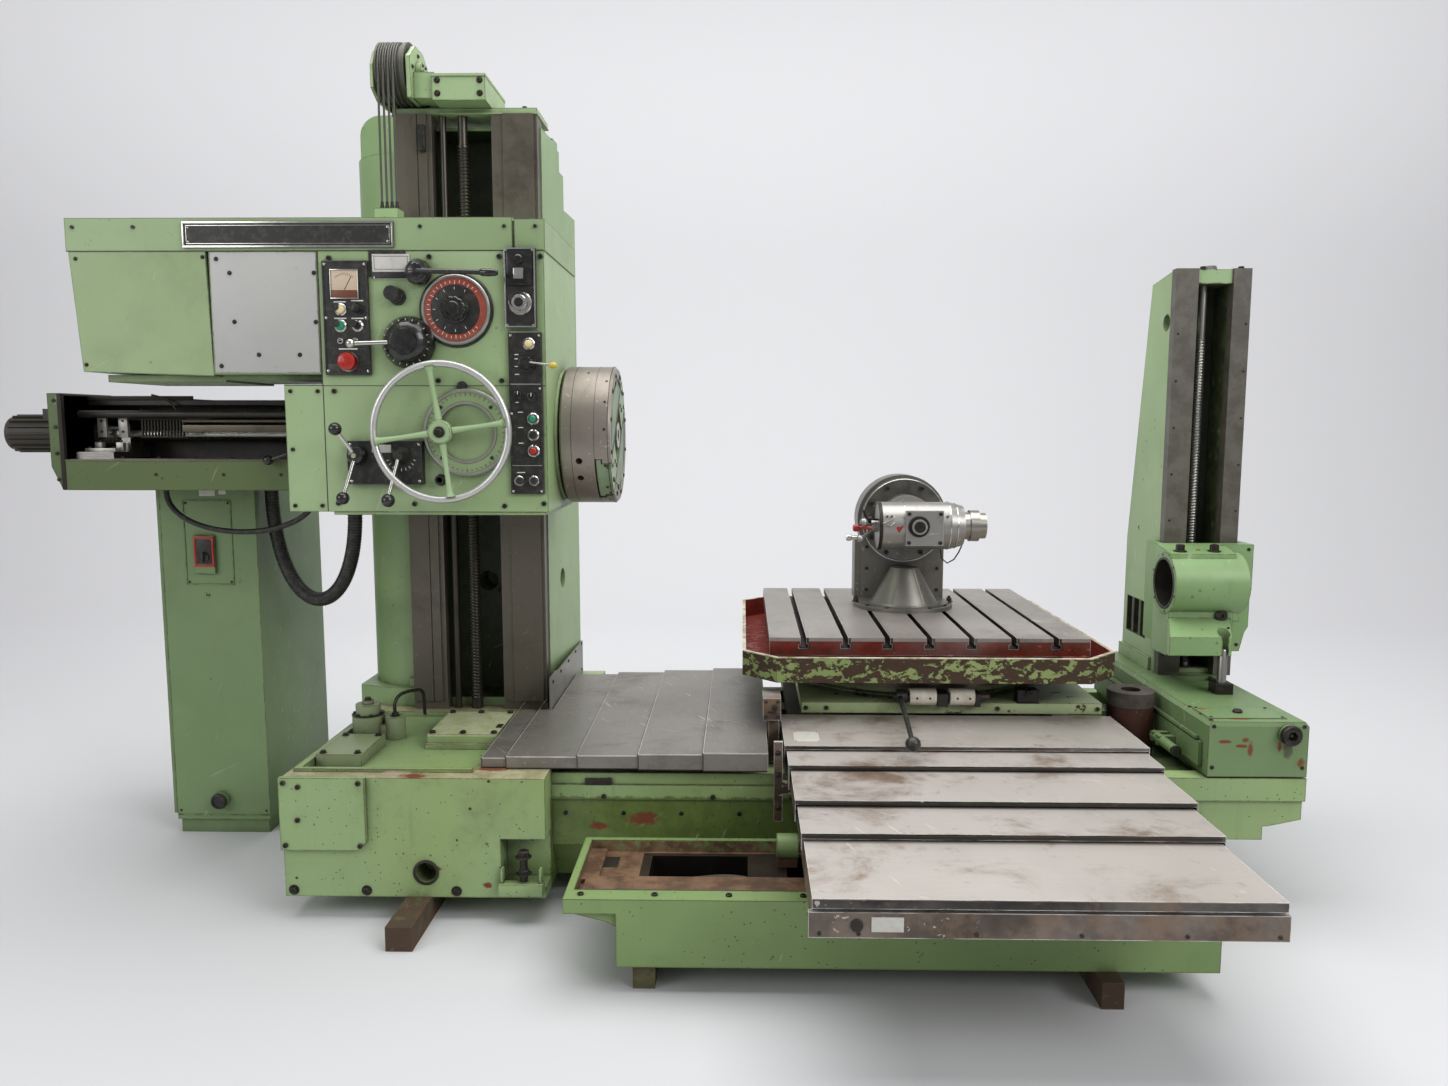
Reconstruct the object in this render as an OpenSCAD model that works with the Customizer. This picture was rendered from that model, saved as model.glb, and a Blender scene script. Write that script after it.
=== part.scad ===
// Table-type horizontal boring and milling machine.
// X runs along the spindle from the headstock to the end support, Y runs
// away from the operator, Z is up. The floor is z = 0 and the origin is the
// middle of the footprint.

/* [Spindle and headstock] */
// Height of the spindle axis above the floor
sp_z = 1710; // [1700:5:1720]
// Diameter of the boring spindle
spindle_d = 100; // [90:5:105]
// Outer diameter of the facing head
facing_d = 536; // [500:2:540]
// Width of the facing head along the spindle
facing_w = 194; // [180:2:200]
// Length of the headstock gearbox along the spindle
gearbox_l = 810; // [780:5:830]
// Height of the gearbox below the cover beam
gearbox_h = 933; // [900:1:940]
// Rim diameter of the large handwheel
handwheel_d = 508; // [460:2:520]

/* [Table] */
// Length and width of the square table
table_s = 1250; // [1200:10:1250]
// Height of the table top above the floor
table_z = 925; // [920:1:930]
// Number of T-slots
slots = 7; // [5:2:7]
// Distance between T-slots
slot_p = 164; // [150:1:170]
// Width of a T-slot at the top
slot_w = 22; // [18:1:24]
// Outer length and width of the chip tray round the table
tray_s = 1460; // [1440:10:1460]

/* [Saddle and covers] */
// Length of one telescopic cover along its travel
cover_l = 400; // [380:5:405]
// Thickness of the cover sheet
cover_t = 3; // [2:0.5:4]
// Width of the widest saddle cover
cover_w = 1290; // [1280:2:1290]
// Difference in width between two nested covers
cover_dw = 16; // [14:1:18]

/* [Bed] */
// Height of the bed walls above the floor
bed_top = 500; // [495:1:502]
// Height of the packing blocks under the beds
block_h = 85; // [85:1:85]

/* [Column and end support] */
// Height of the column ways above the floor
ways_top = 3012; // [2980:2:3030]
// Height of the end support column above the floor
tail_top = 2380; // [2340:2:2400]
// Diameter of the rope sheave
sheave_d = 242; // [230:2:246]
// Inner diameter of the end support bearing
steady_d = 190; // [170:2:200]

/* [Hidden] */
$fn = 48;

// shift from the layout frame (spindle axis at y = 0) to the footprint frame
ox = -417;
oy = 100;
tcx = 730;                    // table centre in the layout frame
tcy = 465;
gb_x1 = -710;                 // right face of the gearbox
gb_x0 = gb_x1 - gearbox_l;    // left face of the gearbox
gb_z0 = sp_z - 277;           // underside of the gearbox
gb_z1 = gb_z0 + gearbox_h;
hf = -390;                    // front face of the headstock
hb = 220;                     // back face of the headstock, before the ways
wf = 225;                     // front face of the column ways
sad_f = -1592;                // front end of the saddle
sad_r = 1792;                 // rear end of the saddle
sad_cx = 795;                 // middle of the saddle in x
c_z = [617, 597, 577, 555, 530];      // tops of the saddle covers, table to end
c_f = [-570, -724, -1005, -1217];     // front edges of the moving front covers
c_r = [1495, 1570, 1645, 1715];       // rear edges of the moving rear covers
b_x = [-940, -850, -592, -372, -140]; // left edges of the bed covers
b_z = [558, 566.5, 575, 583.5, 592]; // tops of the bed covers

module at() translate([-ox, -oy, 0]) children();
module bx(x0, x1, y0, y1, z0, z1) translate([x0, y0, z0]) cube([x1 - x0, y1 - y0, z1 - z0]);
module rx(r, x0, x1, y, z) translate([x0, y, z]) rotate([0, 90, 0]) cylinder(r = r, h = x1 - x0);
module ry(r, y0, y1, x, z) translate([x, y0, z]) rotate([-90, 0, 0]) cylinder(r = r, h = y1 - y0);
module rz(r, z0, z1, x, y) translate([x, y, z0]) cylinder(r = r, h = z1 - z0);
// outline in (y, z) pushed along x, and outline in (x, z) pushed along y
module px(pts, x0, x1) translate([x0, 0, 0]) rotate([90, 0, 90]) linear_extrude(x1 - x0) polygon(pts);
module py(pts, y0, y1) translate([0, y1, 0]) rotate([90, 0, 0]) linear_extrude(y1 - y0) polygon(pts);
module pz(pts, z0, z1) translate([0, 0, z0]) linear_extrude(z1 - z0) polygon(pts);
// ball on a rod from point a to point b
module rod(a, b, r) {
  d = b - a; l = norm(d);
  translate(a) rotate([0, acos(d[2] / l), atan2(d[1], d[0])]) cylinder(r = r, h = l);
}

// ---------------------------------------------------------------- bases
module floor_blocks() at() color("sienna") {
  bx(-1190, -1100, -887, -480, 0, block_h);
  bx(-1190, -1100, 780, 1187, 0, block_h);
  bx(1085, 1152, -1190, -760, 0, block_h);
  bx(1085, 1152, 960, 1390, 0, block_h);
  bx(-340, -270, -1100, -700, 0, block_h);
  bx(-340, -270, 900, 1300, 0, block_h);
  bx(1150, 1250, -400, 600, 0, block_h);
}

module main_bed() at() color("yellowgreen") difference() {
  union() {
    // wide block under the column
    bx(-1620, -690, -660, 960, block_h, 520);
    // long bed with walls and a trough
    px([[-450, block_h], [650, block_h], [730, 230], [730, bed_top], [660, bed_top], [660, 440],
        [600, 440], [600, 460], [480, 460], [480, 440], [-280, 440], [-280, 460], [-400, 460],
        [-400, 440], [-460, 440], [-460, bed_top], [-530, bed_top], [-530, 230]], -690.001, 2005);
    // upper band at the right end, front and back
    bx(1380, 2010, -542, -529, 415, bed_top);
    bx(1380, 2010, 729, 742, 415, bed_top);
    // raised cover panel on the front left
    py([[-1622, 262], [-1350, 262], [-1320, 292], [-1320, 524], [-1622, 524]], -680, -659);
    // plinth plate in front of the ways
    bx(-1225, -950, -255, 70, 519, 556);
    // splash rim on the top
    bx(-1600, -1575, -600, 180, 519, 532);
    bx(-1575, -960, -600, -580, 519, 532);
    // ribbed steel strip along the front
    bx(-690, 640, -538, -529, 402, 458);
  }
  // shallow tray in the top
  bx(-1575, -1230, -570, 190, 500, 521);
  bx(-1231, -960, -570, -270, 500, 521);
  // levelling pocket at the front corner
  bx(-850, -680, -670, -560, 125, 300);
  // round hole
  ry(37, -670, -560, -1117, 176);
  ry(32, 860, 970, -1117, 176);
  // underside cut away under the right end
  py([[1460, 80], [2020, 80], [2020, 347], [1887, 318], [1870, 318], [1870, 268], [1460, 268]], -560, 760);
  // long opening in the trough floor
  bx(-560, 1950, 20, 180, 380, 441);
}

// support bed beside the main bed, front side at y0, opening downwards left
module support_bed() difference() {
  union() {
    py([[-551, 257], [-540, 253], [-417, 221], [-388, 205], [-388, block_h], [1463, block_h],
        [1463, 303], [-551, 303]], -1110, -640);
    bx(-388, 1463, -1128, -1109, block_h, 256);
    bx(-551, 1463, -1128, -1109, 256, 303);
  }
  // trough with a rim round it
  bx(-525, 1440, -1060, -665, 262, 310);
  // openings through the trough floor
  bx(-310, 20, -905, -700, 130, 270);
  bx(150, 250, -905, -700, 130, 270);
}
module support_way() {
  bx(-505, 1430, -1045, -930, 262, 290);
  rx(42, 118, 190, -770, 330);
  bx(120, 188, -790, -750, 262, 330);
  bx(-525, -470, -925, -675, 262, 276);
}
module front_support_bed() at() color("olivedrab") { support_bed(); support_way(); }
module rear_support_bed() at() color("olivedrab")
  translate([0, 200, 0]) mirror([0, 1, 0]) { support_bed(); support_way(); }

// --------------------------------------------------------------- column
module column() at() color("darkseagreen") difference() {
  union() {
    // right flank leans outwards to the back, its top falls in steps
    pz([[-1440, 300], [-842, 300], [-808, 930], [-1440, 930]], 520, 2720);
    pz([[-1440, 300], [-842, 300], [-820.4, 700], [-1440, 700]], 2719, 2870);
    pz([[-1440, 300], [-842, 300], [-824.7, 620], [-1440, 620]], 2869, 2955);
    pz([[-1440, 300], [-842, 300], [-826.3, 590], [-1440, 590]], 2954, 2975);
    pz([[-1440, 500], [-831.2, 500], [-826.3, 590], [-1440, 590]], 2974, 2985);
    // counterweight housing at the back left, rounded at the top
    bx(-1690, -1439, 560, 930, 520, 3020);
    bx(-1600, -1440, 560, 930, 3019, 3100);
    ry(90, 560, 930, -1600, 3010);
    // curved left flank
    translate([-1440, 560, 520]) rotate([0, 0, 180]) intersection() {
      scale(1) cylinder(r = 245, h = 2360);
      cube([250, 250, 2360]);
    }
    // skirt round the foot
    bx(-1470, -1440, 300, 560, 520, 640);
    pz([[-1700, 350], [-1560, 290], [-1440, 290], [-1440, 600], [-1700, 600]], 520, 600);
  }
  // deep recess between the ways
  bx(-1280, -1034, 220, 470, 560, 2960);
  // round holes in the recess wall and in the right flank
  ry(44, 460, 640, -1148, 1052);
  rx(44, -900, -800, 560, 1052);
}
module column_ways() at() color("dimgray") difference() {
  union() {
    bx(-1424, -1280, wf, 300, 560, ways_top);
    bx(-1034, -847, wf, 300, 560, ways_top);
    bx(-1424, -1280, 240, 300, 520, 560);
    bx(-1034, -847, 240, 300, 520, 560);
    bx(-1424, -1280, 300, 340, 2975, ways_top);
    bx(-1034, -847, 300, 340, 2975, ways_top);
  }
  // relief strips and grooves
  bx(-1340, -1334, wf - 1, wf + 6, 559, ways_top + 1);
  bx(-1300, -1279, wf - 1, wf + 10, 559, ways_top + 1);
  bx(-1035, -985, wf - 1, wf + 10, 559, ways_top + 1);
  py([[-860, 550], [-846, 550], [-846, ways_top + 1], [-860, ways_top + 1]], wf - 1, wf + 12);
}
module column_guard_plate() at() color("gray")
  px([[70, 520], [930, 520], [930, 682], [228, 690], [215, 700], [70, 700]], -806, -798);

module lifting_screw() at() color("gray") {
  rz(20, 2885, ways_top, -1160, 268);
  rz(25, 520, 2886, -1160, 268);
  rz(14, 520, ways_top, -1240, 262);
  // limit switch on the left way
  bx(-1330, -1300, 205, wf, 2862, 2965);
}

module sheave_bracket() at() color("yellowgreen") {
    bx(-1243, -1030, 130, 480, 3036, 3134);
    bx(-1424, -1245, 240, 480, ways_top, 3036);
    bx(-1245, -847, 240, 480, ways_top, 3037);
    // cheek plate right of the sheave and its arm
    px([[120, 3045], [330, 3045], [360, 3110], [350, 3225], [290, 3262], [190, 3262], [110, 3200]], -1340, -1322);
    bx(-1330, -1240, 150, 330, 3050, 3150);
    // left cheek
    px([[110, 3080], [180, 3045], [330, 3045], [350, 3200], [290, 3240], [150, 3230], [110, 3170]], -1482, -1470);
    bx(-1480, -1330, 352, 370, 3037, 3150);
    // bearing cap
    rx(48, -1322.01, -1300, 225, 3162);
    // fixed axle of the sheave
    rx(19.5, -1488, -1294, 225, 3162);
}
module rope_sheave() at() color("dimgray") difference() {
  translate([-1466, 225, 3162]) rotate([0, 90, 0]) rotate_extrude($fn = 96)
    polygon([[20, 0], [sheave_d / 2, 0],
      for (i = [0 : 4]) each [[sheave_d / 2, 8 + 20 * i], [sheave_d / 2 - 9, 11 + 20 * i],
        [sheave_d / 2 - 9, 21 + 20 * i], [sheave_d / 2, 24 + 20 * i]],
      [sheave_d / 2, 118], [sheave_d / 2 - 30, 118], [sheave_d / 2 - 34, 100], [50, 100], [50, 118], [20, 118]]);
  for (a = [0 : 60 : 300]) translate([-1500, 225, 3162]) rotate([a, 0, 0]) translate([0, 72, 0])
    rotate([0, 90, 0]) cylinder(r = 14, h = 160);
}
// four ropes from the sheave to the anchor on the headstock
module headstock_ropes() at() color("dimgray")
  for (i = [0 : 3]) rz(5, 2605, 3162, -1450 + 20 * i, 107);

// ----------------------------------------------------------- headstock
module headstock_body() at() color("olivedrab") difference() {
  union() {
    bx(gb_x0, -835, hf, hb, gb_z0, gb_z1);
    bx(-836, gb_x1, hf, 285, gb_z0, gb_z1);
    // end cover at the lower left
    bx(-1662, gb_x0 + 1, hf, 95, gb_z0, sp_z + 182);
    // nut block round the lifting screw
    bx(-1212, -1110, 215, 330, sp_z - 240, sp_z - 60);
    // anchor of the ropes
    bx(-1468, -1372, 60, 135, 2482, 2605);
    // flange behind the facing head
    rx(256, gb_x1 - 1, gb_x1 + 13, 0, sp_z);
    // bottom lip
    bx(gb_x0 + 20, gb_x1 - 10, hf + 6, 200, gb_z0 - 12, gb_z0);
  }
  rx(spindle_d / 2 + 4, -1700, -690, 0, sp_z);
  rz(29, 1300, 1800, -1160, 268);
  rz(24, 1300, 1800, -1240, 262);
}
module headstock_top_beam() at() color("yellowgreen") {
  bx(-2428, -1520, hf, 95, gb_z1, 2482);
  bx(-1521, -822, hf, hb - 5, gb_z1, 2482);
  bx(-815, gb_x1 + 3, hf + 4, 280, gb_z1, 2476);
  bx(-823, -814, hf + 10, hb - 5, gb_z1, 2470);
}
module gear_cover_box() at() color("yellowgreen") {
  // green part, slightly tapered at its left end
  py([[-2420, gb_z1 - 1], [-2392, 1940], [-1915, 1925], [-1925, gb_z1 - 1]], hf, 95);
  // grey sheet part
  bx(-1914, -1523, hf, 95, 1930, gb_z1 - 1);
  // dark base rails
  bx(-2340, -1900, -330, 60, 1905, 1931);
  bx(-1900, -1530, -330, 60, 1912, 1931);
}
// open trough for the back end of the spindle
module feed_arm() at() color("olivedrab") difference() {
  union() {
    bx(-2600, -1662, -230, 95, 1500, 1528);
    bx(-2600, -1662, -230, -212, 1500, 1612);
    bx(-2600, -1662, 77, 95, 1500, 1840);
    bx(-2600, -1662, -60, 95, 1826, 1846);
    py([[-2642, 1868], [-2590, 1868], [-2590, 1500], [-2602, 1500], [-2642, 1590]], -230, 95);
    bx(-1690, -1662, -229, 95, 1500, 1860);
    // guide rails
    bx(-2592, -1680, -190, -150, 1590, 1614);
    bx(-2592, -1680, -190, -150, 1527, 1545);
    bx(-2592, -1680, -184, -156, 1540, 1592);
    bx(-2592, -1680, 30, 70, 1590, 1614);
    bx(-2592, -1680, 36, 78, 1527, 1592);
    rx(15, -2592, -1680, -120, 1790);
    rx(12, -2592, -1680, 40, 1770);
  }
  rx(54, -1700, -1650, 0, sp_z);
}
module feed_motor() at() color("dimgray") {
  rx(66, -2934, -2642, 0, sp_z + 4);
  for (i = [0 : 15]) translate([-2920, 0, sp_z + 4]) rotate([i * 22.5, 0, 0]) translate([0, -3, 60]) cube([250, 6, 16]);
  rx(82, -2660, -2642, 0, sp_z + 4);
  bx(-2790, -2700, -40, 40, 1760, 1812);
}

module facing_head() at() color("silver") difference() {
  union() {
    translate([gb_x1 + 18, 0, sp_z]) rotate([0, 90, 0]) rotate_extrude($fn = 120)
      polygon([[61, 0], [250, 0], [facing_d / 2 - 4, 4], [facing_d / 2, 10], [facing_d / 2, 183], [facing_d / 2 - 8, facing_w],
        [222, facing_w], [222, facing_w - 6], [196, facing_w - 6], [196, facing_w - 1], [61, facing_w - 1]]);
  }
  // way for the cross slide in the face
  translate([gb_x1 + 18, 0, sp_z]) rotate([-48, 0, 0]) {
    translate([facing_w - 62, -88, -300]) cube([80, 176, 600]);
    translate([facing_w - 62, -104, -300]) cube([30, 208, 600]);
  }
  // wrench and oil holes on the rim
  for (a = [21, 37]) translate([gb_x1 + 18 + 74, 0, sp_z]) rotate([a + 90, 0, 0]) translate([0, 0, 200]) cylinder(r = 13, h = 90);
  translate([gb_x1 + 18 + 96, 0, sp_z]) rotate([27, 0, 0]) translate([0, 0, 230]) cylinder(r = 6, h = 60);
}
module facing_slide() at() color("silver") translate([gb_x1 + 18, 0, sp_z]) rotate([-48, 0, 0]) difference() {
  intersection() {
    union() {
      translate([facing_w - 57, -83, -262]) cube([56, 166, 524]);
      translate([facing_w - 57, -99, -262]) cube([20, 198, 524]);
    }
    translate([0, 0, 0]) rotate([0, 90, 0]) cylinder(r = facing_d / 2 - 5, h = 300, $fn = 96);
  }
  // slot for the spindle nose, long enough for the slide's travel
  translate([facing_w - 70, -61, -105]) cube([80, 122, 210]);
  // T-slots for tool holders
  for (s = [-1, 1]) translate([facing_w - 18, s * 70 - 7, -300]) cube([30, 14, 600]);
}
module boring_spindle() at() color("gainsboro") difference() {
  union() {
    rx(spindle_d / 2, -1500, gb_x1 + 18 + facing_w, 0, sp_z);
    rx(26, -2560, -1499, 0, sp_z);
    // carriage at the back end
    bx(-2570, -2525, -70, 22, 1640, 1752);
    bx(-2460, -2425, -70, 22, 1640, 1752);
    bx(-2570, -2425, -188, 68, 1619, 1645);
    rx(46, -2560, -2440, 0, sp_z);
  }
  // taper bore in the nose
  rx(24, gb_x1 - 150, gb_x1 + 18 + facing_w + 1, 0, sp_z);
}

module handwheel() at() color("silver") translate([-1074, -470, sp_z + 14]) rotate([90, 0, 0]) {
  rotate_extrude($fn = 96) translate([handwheel_d / 2 - 13, 0]) circle(r = 13, $fn = 24);
  difference() {
    union() {
      for (a = [0 : 90 : 270]) rotate([0, 0, a]) translate([30, -9, -7]) cube([handwheel_d / 2 - 45, 18, 14]);
      translate([0, 0, -40]) cylinder(r = 40, h = 60);
      translate([0, 0, -60]) cylinder(r = 26, h = 24);
    }
    translate([0, 0, -77]) cylinder(r = 12.5, h = 130);
  }
}
module feed_dial() at() color("silver") {
  difference() { ry(152, -412, hf, -998, 1722); ry(110, -413, -404, -998, 1722); }
  // speed dial with its two rings and hub
  difference() { ry(120, -406, hf, -1027, 2158); ry(92, -407, -398, -1027, 2158); }
  ry(40, -440, -398, -1027, 2158);
  // pin of the large handwheel
  ry(12, -500, hf, -1074, sp_z + 14);
  // pins of the levers
  ry(12, -450, hf, -1154, 2288);
  ry(14, -470, hf, -1198, 2042);
  ry(9, -470, -420, -1390, 1640);
  ry(9, -456, -420, -1235, 1640);
}
module control_panels() at() color("black") {
  // meter and button panel
  bx(-1503, -1340, -402, hf, 1966, 2330);
  // lever box
  bx(-1430, -1158, -420, hf, 1535, 1692);
  // control box at the upper right
  bx(-848, -738, -412, hf, 2095, 2372);
  // switch panel at the right edge
  bx(-842, -722, -402, hf, 1500, 2078);
  // knobs, lamps and buttons
  for (p = [[-1456, 2168, 14], [-1395, 2172, 15], [-1456, 2110, 14], [-1395, 2110, 14], [-1425, 1980 + 10, 24]])
    ry(p[2], -418, -402, p[0], p[1]);
  ry(30, -436, -412, -800, 2190);
  for (p = [[-770, 2040, 13], [-774, 1970, 22], [-808, 1858, 13], [-760, 1851, 13], [-757, 1771, 15], [-757, 1713, 14],
            [-757, 1655, 15], [-806, 1548, 13], [-757, 1548, 13]])
    ry(p[2], -420, -402, p[0], p[1]);
  ry(26, -425, hf, -1252, 2215);
  ry(12, -412, hf, -1012, 1888);
  ry(12, -412, hf, -1098, 1552);
  // bare name plate and small plates
  bx(-2001, -1244, -396, hf, 2377, 2468);
  bx(-1342 + 5, -1205, -393, hf, 2275, 2368);
}
module speed_lever() at() color("dimgray") difference() {
  union() {
    ry(46, -440, -397, -1154, 2288);
    rod([-1154, -446, 2288], [-880, -486, 2276], 8);
    rod([-915, -482, 2277], [-855, -490, 2274], 13);
    ry(30, -452, -440, -1154, 2288);
  }
  ry(12.6, -460, -390, -1154, 2288);
}
module feed_lever() at() color("dimgray") difference() {
  union() {
    translate([-1198, -396, 2042]) rotate([90, 0, 0]) cylinder(r1 = 81, r2 = 60, h = 62, $fn = 64);
    rod([-1215, -440, 2042], [-1380, -470, 2034], 8);
    translate([-1384, -471, 2034]) sphere(r = 17, $fn = 24);
  }
  ry(14.6, -480, -390, -1198, 2042);
}
module shift_levers() at() color("dimgray") difference() {
  // left lever, one ball above and one below
  union() {
    ry(34, -460, -424, -1390, 1640);
    rod([-1401, -448, 1659], [-1440, -500, 1735], 8);
    rod([-1395, -448, 1618], [-1422, -500, 1490], 8);
    translate([-1440, -500, 1735]) sphere(r = 23, $fn = 24);
    translate([-1422, -500, 1490]) sphere(r = 23, $fn = 24);
  }
  ry(9.5, -480, -400, -1390, 1640);
}

// -------------------------------------------------------- saddle and table
module saddle() at() color("dimgray") difference() {
  union() {
    // body inside the bed walls
    bx(192, 1398, -450, 650, 466, 520);
    // long top plate
    bx(192, 1398, -1560, 1760, 505, 521);
    // front and rear arms over the support beds
    bx(196, 1394, -1560, -560, 440, 506);
    bx(196, 1394, 760, 1760, 440, 506);
    // shoes on the support ways
    bx(230, 1360, -1040, -935, 295, 441);
    bx(230, 1360, 1135, 1240, 295, 441);
    // guide rails of the cross slide
    bx(330, 440, -1080, 1280, 520, 545);
    bx(1150, 1260, -1080, 1280, 520, 545);
  }
  // space between the rails
  bx(560, 1030, -1050, 1250, 480, 530);
}
module saddle_end_plate() at() color("rosybrown") {
  // fixed end covers and end plates, front and rear
  for (m = [0, 1]) translate([0, m * 200, 0]) mirror([0, m, 0]) {
    bx(sad_cx - 613, sad_cx + 613, sad_f, -1100, c_z[4] - 4, c_z[4]);
    bx(sad_cx - 613, sad_cx - 609, sad_f + 22, -1100, 440, c_z[4] - 4);
    bx(sad_cx + 609, sad_cx + 613, sad_f + 22, -1100, 440, c_z[4] - 4);
    bx(sad_cx - 613, sad_cx + 613, sad_f, sad_f + 4, 503, c_z[4] - 4);
    bx(sad_cx - 622, sad_cx + 622, sad_f + 4, sad_f + 22, 422, 492);
    bx(sad_cx - 613, sad_cx + 613, sad_f + 14, sad_f + 30, 444, c_z[4] - 4);
  }
  // limit block and wiper plate on the left side
  bx(78, 146, -330, -180, 640, 724);
  bx(100, 140, -300, -200, 470, 640);
  bx(100, 192, -300, -200, 470, 498);
  bx(112, 143, -600, -586, 350, 640);
  bx(112, 196, -600, -586, 450, 495);
}
// telescopic cover: flat top, two skirts and a lip at the end towards -y
module cover(w, z, y0, y1, sk, lip) {
  bx(sad_cx - w / 2, sad_cx + w / 2, y0, y1, z - cover_t, z);
  bx(sad_cx - w / 2, sad_cx - w / 2 + cover_t, y0, y1, z - sk, z - cover_t);
  bx(sad_cx + w / 2 - cover_t, sad_cx + w / 2, y0, y1, z - sk, z - cover_t);
  bx(sad_cx - w / 2 + cover_t, sad_cx + w / 2 - cover_t, y0, y0 + cover_t, z - lip, z - cover_t);
}
module front_cover(i) at() color("silver")
  cover(cover_w - cover_dw * i, c_z[i], c_f[i], c_f[i] + (i == 0 ? 405 : cover_l), c_z[i] - 515 + 4 * i, i == 3 ? 18 : 14);
module rear_cover(i) at() color("silver") translate([0, 200, 0]) mirror([0, 1, 0])
  cover(cover_w - cover_dw * i, c_z[i], 200 - c_r[i], 200 - c_r[i] + (i == 0 ? 400 : cover_l), c_z[i] - 515 + 4 * i, i == 3 ? 18 : 14);
module front_cover_1() front_cover(0);
module front_cover_2() front_cover(1);
module front_cover_3() front_cover(2);
module front_cover_4() front_cover(3);
module rear_cover_1() rear_cover(0);
module rear_cover_2() rear_cover(1);
module rear_cover_3() rear_cover(2);
module rear_cover_4() rear_cover(3);

// telescopic cover over the bed, left of the saddle; the right end is highest
module bed_cover(i, x0, x1) at() color("gray") {
  z = b_z[i];
  d = 9 * i;
  b = i < 2 ? 522 : 525;
  difference() {
    union() {
      bx(x0, x1, -545 - d, 690 + d, z - cover_t, z);
      bx(x0, x1, -545 - d, -542 - d, b, z - cover_t);
      bx(x0, x1, 687 + d, 690 + d, b, z - cover_t);
    }
    // the column stands in the rear left corner
    bx(-1000, -793, 64, 800, 500, 600);
  }
}
module bed_cover_1() bed_cover(0, b_x[0], -640);
module bed_cover_2() bed_cover(1, b_x[1], -560);
module bed_cover_3() bed_cover(2, b_x[2], -325);
module bed_cover_4() bed_cover(3, b_x[3], -105);
module bed_cover_5() bed_cover(4, b_x[4], 92);

module cross_slide() at() color("yellowgreen") {
  bx(232, 1408, -165, 1095, 625, 668);
  // shoes on the saddle rails
  bx(330, 440, -10, 940, 550, 626);
  bx(1150, 1260, -10, 940, 550, 626);
  // round base of the turntable
  translate([tcx, tcy, 0]) rotate_extrude($fn = 120)
    polygon([[0, 660], [548, 660], [548, 676], [572, 690], [582, 745], [575, 755], [0, 755]]);
  // clamp shaft with two speckled sleeves and their lugs
  rx(13, 590, 960, -190, 700);
  rx(33, 650, 752, -190, 700);
  rx(33, 806, 900, -190, 700);
  bx(758, 800, -205, -120, 662, 712);
  bx(905, 925, -205, -120, 662, 712);
  bx(970 + 110, 970 + 190, -158, -100, 667, 718);
}
module clamp_lever() at() color("dimgray") difference() {
  union() {
    rx(26, 598, 640, -190, 700);
    rod([614, -200, 700], [590, -655, 657], 10);
    translate([589, -668, 656]) sphere(r = 27, $fn = 24);
  }
  rx(13.6, 580, 660, -190, 700);
}
module table() at() color("dimgray") translate([tcx, tcy, 0]) difference() {
  union() {
    translate([-table_s / 2, -table_s / 2, table_z - 72]) cube([table_s, table_s, 72]);
    rz(500, 760, table_z - 71, 0, 0);
    translate([-545, -545, 812]) cube([1090, 1090, table_z - 72 - 811]);
  }
  for (i = [0 : slots - 1]) translate([(i - (slots - 1) / 2) * slot_p, 0, 0]) {
    translate([-slot_w / 2, -table_s, table_z - 28]) cube([slot_w, 2 * table_s, 40]);
    translate([-18.5, -table_s, table_z - 44]) cube([37, 2 * table_s, 17]);
  }
}
function tray_pts(h, c) = [[-h, -h + c], [-h + c, -h], [h - c, -h], [h, -h + c], [h, h - c], [h - c, h], [-h + c, h], [-h, h - c]];
module chip_tray() at() color("yellowgreen") translate([tcx, tcy, 0]) difference() {
  pz(tray_pts(tray_s / 2, 130), 770, 868);
  pz(tray_pts(tray_s / 2 - 14, 125), 782, 869);
  rz(500, 760, 783, 0, 0);
}
// milling attachment that stands on the table
module milling_head_stand() at() color("silver") {
  difference() {
    union() {
      rz(225, table_z, table_z + 18, 735, 585);
      rz(206, table_z + 17, table_z + 26, 735, 585);
    }
    // the table slots show past the plate, so its own slots stay small
    for (s = [-1, 1]) bx(735 + s * 214 - 10, 735 + s * 214 + 10, 560, 610, table_z - 1, table_z + 30);
  }
  translate([735, 540, table_z + 25]) cylinder(r1 = 150, r2 = 62, h = 160, $fn = 64);
  // back body with a square foot and a round top
  bx(548, 930, 640, 780, table_z + 25, 1310);
  ry(205, 640, 780, 735, 1318);
  bx(520, 560, 650, 760, table_z + 25, 1230);
}
module milling_head() at() color("silver") {
  // round flange, swivels on the back body
  ry(192, 585, 640, 735, 1318);
  ry(120, 470, 586, 735, 1318);
  // barrel along x, with a cover plate and a conical nose end
  rx(104, 590, 900, 400, 1312);
  translate([899.99, 400, 1312]) rotate([0, 90, 0]) cylinder(r1 = 104, r2 = 88, h = 60, $fn = 64);
  bx(700, 860, 288, 380, 1235, 1385);
  bx(660, 830, 400, 500, 1222, 1402);
  // crank stub and levers on the left
  ry(32, 262, 289, 755, 1318);
  rx(28, 545, 590, 400, 1312);
  rod([560, 380, 1312], [520, 300, 1335], 8);
  rod([560, 370, 1290], [505, 300, 1265], 6);
  translate([520, 300, 1335]) sphere(r = 18, $fn = 20);
  translate([505, 300, 1265]) sphere(r = 16, $fn = 20);
}
module milling_head_nose() at() color("gainsboro") difference() {
  union() { rx(60, 960.5, 990, 400, 1312); rx(68, 990, 1030, 400, 1312); rx(56, 1030, 1060, 400, 1312); }
  rx(20, 1000, 1070, 400, 1312);
}

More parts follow.
